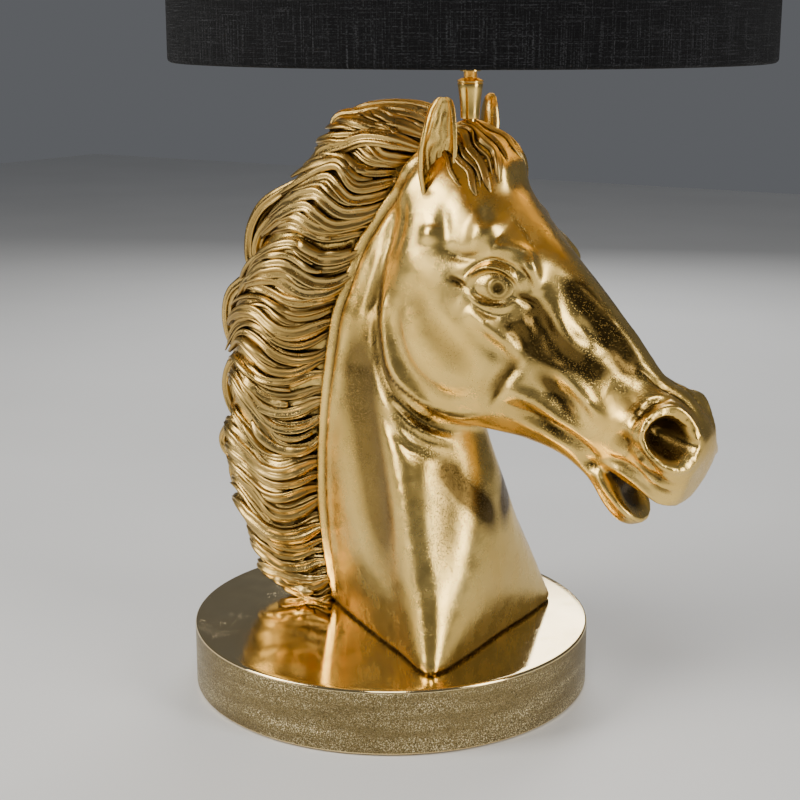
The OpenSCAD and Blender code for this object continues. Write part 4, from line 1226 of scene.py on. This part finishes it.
# finishes of the pieces carried over from the CAD model
def plainMetal(name, light, dark, rough, scratch=0.00002):
    r = Recipe(name)
    cloud = r.noise(90, 4, 0.6)
    lines = r.noise(1.0, 2, 0.6, r.place((60, 60, 2600)))
    colour = r.blend(r.ramp(cloud, 0.3, 0.7), light, dark)
    normal = r.bump(r.calc("ADD", lines, r.calc("MULTIPLY", r.noise(1800, 2), 0.5)), scratch)
    return r.finish(colour, r.ramp(cloud, 0.3, 0.7, rough, rough + 0.14), normal, Metallic=1.0)


def plainPlastic(name, light, dark, rough, grain=700, depth=0.00004, **more):
    r = Recipe(name)
    cloud = r.noise(40, 4, 0.6)
    normal = r.bump(r.noise(grain, 3, 0.6), depth)
    colour = r.blend(r.ramp(cloud, 0.3, 0.7), light, dark)
    return r.finish(colour, r.ramp(cloud, 0.3, 0.7, rough, rough + 0.1), normal, **more)


def feltCloth(name):
    r = Recipe(name)
    tufts = r.noise(900, 5, 0.75)
    hairs = r.noise(1.0, 3, 0.6, r.place((500, 3000, 500)))
    colour = r.blend(r.ramp(tufts, 0.35, 0.7), (0.010, 0.010, 0.012), (0.035, 0.035, 0.04))
    return r.finish(colour, 0.95, r.bump(r.calc("ADD", tufts, hairs), 0.0005), Sheen_Weight=0.4)


def clearGlass(name):
    r = Recipe(name)
    swirl = r.noise(30, 2, 0.5)
    return r.finish((0.97, 0.97, 0.95), r.ramp(swirl, 0.3, 0.7, 0.02, 0.06), r.bump(swirl, 0.00002),
                    Transmission_Weight=1.0, IOR=1.45)


brass = plainMetal("brightBrass", (0.88, 0.66, 0.30), (0.72, 0.50, 0.20), 0.22)
steel = plainMetal("zincSteel", (0.62, 0.63, 0.65), (0.45, 0.46, 0.48), 0.3)
plateSteel = plainMetal("plateSteel", (0.50, 0.51, 0.53), (0.36, 0.37, 0.39), 0.42, scratch=0.00005)
capMetal = plainMetal("bulbCapMetal", (0.78, 0.78, 0.80), (0.60, 0.60, 0.62), 0.24)
tipSolder = plainMetal("tipSolder", (0.66, 0.67, 0.70), (0.46, 0.47, 0.50), 0.35, scratch=0.00008)
wirePaint = plainPlastic("whiteWirePaint", (0.78, 0.78, 0.75), (0.70, 0.70, 0.67), 0.32, 500, 0.00005,
                         Coat_Weight=0.3)
porcelain = plainPlastic("glazedPorcelain", (0.80, 0.79, 0.74), (0.74, 0.72, 0.66), 0.14, 300, 0.00002,
                         Coat_Weight=0.6)
ringPlastic = plainPlastic("ringPlastic", (0.018, 0.018, 0.018), (0.03, 0.03, 0.03), 0.38, 1200, 0.00006)
blockPlastic = plainPlastic("blockPlastic", (0.78, 0.78, 0.76), (0.70, 0.70, 0.67), 0.42)
rubber = plainPlastic("bushRubber", (0.012, 0.012, 0.012), (0.024, 0.024, 0.024), 0.62, 900, 0.0001)
bulbBlack = plainPlastic("bulbInsulator", (0.012, 0.012, 0.014), (0.02, 0.02, 0.02), 0.25)
liveSleeve = plainPlastic("liveSleeve", (0.16, 0.06, 0.02), (0.12, 0.045, 0.015), 0.4)
neutralSleeve = plainPlastic("neutralSleeve", (0.015, 0.05, 0.22), (0.01, 0.035, 0.16), 0.4)
earthSleeve = plainPlastic("earthSleeve", (0.10, 0.30, 0.03), (0.55, 0.50, 0.04), 0.4)
filament = plainPlastic("filamentCoating", (0.90, 0.62, 0.12), (0.80, 0.50, 0.08), 0.5)
glass = clearGlass("clearBulbGlass")
nodeFinish = [
    (plateSteel, ["cover_plate"]),
    (feltCloth("darkFelt"), ["felt_pad"]),
    (steel, ["cover_screws", "head_screws", "tube_nuts", "tube_washer", "terminal_screws", "block_screw",
             "earth_screw"]),
    (satinGold, ["seat_washer", "holder_cup", "holder_shell"]),
    (porcelain, ["holder_insert"]),
    (brass, ["screw_shell", "centre_contact", "holder_terminals", "earth_tag"]),
    (ringPlastic, ["shade_ring"]),
    (blockPlastic, ["terminal_block"]),
    (rubber, ["inlet_bush"]),
    (wirePaint, ["shade_top_wire", "shade_carrier"]),
    (glass, ["bulb_glass", "bulb_stem"]),
    (capMetal, ["bulb_cap"]),
    (bulbBlack, ["bulb_insulator"]),
    (filament, ["bulb_filaments"]),
    (tipSolder, ["bulb_tip"]),
    (liveSleeve, ["live_core"]),
    (neutralSleeve, ["neutral_core"]),
    (earthSleeve, ["earth_core"]),
]
for finish, nodeNames in nodeFinish:
    for nodeName in nodeNames:
        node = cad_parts[nodeName]
        node.data.materials.clear()
        node.data.materials.append(finish)
print("stage: finishes set")


# painted shade in the recesses, measured by how much each point is shut in
goldenAngle = 2.39996  # spreads the rays evenly


def shutIn(obj, tree, reach, count, extra=None, clear=0.28, gain=1.5, keep=0.6):
    # count rays leave each point: the share that meets gold within reach darkens it as painted shade
    co, normals = placesOf(obj), normalsOf(obj)
    turns = np.arange(count) * goldenAngle
    rise = 0.25 + 0.75 * (np.arange(count) + 0.5) / count
    flat = np.sqrt(1 - rise ** 2)
    side = np.cross(normals, np.where(np.abs(normals[:, 2:3]) > 0.9, (1.0, 0, 0), (0, 0, 1.0)))
    side /= np.maximum(np.linalg.norm(side, axis=1), 1e-9)[:, None]
    other = np.cross(normals, side)
    start = (co + normals * 0.35 * mm).tolist()
    shut = np.zeros(len(co))
    for k in range(count):
        ways = normals * rise[k] + (side * math.cos(turns[k]) + other * math.sin(turns[k])) * flat[k]
        hits = [tree.ray_cast(o, d, reach)[3] for o, d in zip(start, ways.tolist())]
        shut += np.array([0.0 if h is None else 1 - h / reach * 0.6 for h in hits])
    shut = np.clip((shut / count - clear) * gain, 0, 1)
    if extra is not None:
        shut = np.maximum(shut, extra)
    if "hollow" in obj.data.attributes:
        kept = np.zeros(len(co))
        obj.data.attributes["hollow"].data.foreach_get("value", kept)
        shut = np.clip(shut + keep * kept, 0, 1)
        obj.data.attributes["hollow"].data.foreach_set("value", shut.astype(np.float32))
    else:
        setShadeAttribute(obj, shut.astype(np.float32))


hairNames = ("maneLocksNear", "maneLocksFar", "maneTopLocks", "forelock")
goldPieces = [casting, ears, eyes] + [bpy.data.objects[name] for name in hairNames]
allVerts, allFaces = [], []
for piece in goldPieces:
    start = len(allVerts)
    allVerts += placesOf(piece).tolist()
    allFaces += [tuple(start + v for v in face.vertices) for face in piece.data.polygons]
goldTree = BVHTree.FromPolygons(allVerts, allFaces)
for piece in goldPieces:
    if piece.name in hairNames:
        shutIn(piece, goldTree, 9 * mm, 8, clear=0.2, gain=1.8, keep=0.5)
    else:
        shutIn(piece, goldTree, 22 * mm, 12, cutIn if piece is casting else None)
print("stage: recesses darkened")


# plain floor and soft light
bpy.ops.mesh.primitive_plane_add(size=6, location=(0, 0, 0))
floor = bpy.context.object
floor.name = "studioFloor"
paint = Recipe("paleFloor")
tone = paint.blend(paint.ramp(paint.noise(3, 2), 0.3, 0.7), (0.72, 0.72, 0.71), (0.76, 0.76, 0.75))
floor.data.materials.append(paint.finish(tone, 0.6))
lights = [
    # name, place, aim, size, power, tint
    ("keyLeft", (-1.0, -1.1, 1.0), (0, 0, 0.22), (0.7, 1.3), 30, (1.0, 0.97, 0.92)),
    ("fillRight", (1.5, -0.1, 0.7), (0.05, 0, 0.2), (0.5, 1.2), 16, (1.0, 0.98, 0.95)),
    ("rimBack", (-0.6, 1.4, 1.0), (0, 0, 0.25), (0.8, 0.8), 12, (1, 1, 1)),
    ("topSoft", (0.5, -0.9, 1.5), (0.05, 0, 0.2), (0.5, 0.5), 9, (1, 0.98, 0.95)),
]
for name, place, aim, size, power, tint in lights:
    data = bpy.data.lights.new(name, "AREA")
    data.shape = "RECTANGLE"
    data.size, data.size_y = size
    data.energy = power
    data.color = tint
    lamp = bpy.data.objects.new(name, data)
    lamp.location = place
    lamp.rotation_euler = (Vector(aim) - Vector(place)).to_track_quat("-Z", "Y").to_euler()
    scene.collection.objects.link(lamp)
world = bpy.data.worlds.new("studioAir")
world.use_nodes = True
world.node_tree.nodes["Background"].inputs[0].default_value = (0.25, 0.26, 0.28, 1)
world.node_tree.nodes["Background"].inputs[1].default_value = 0.45
scene.world = world
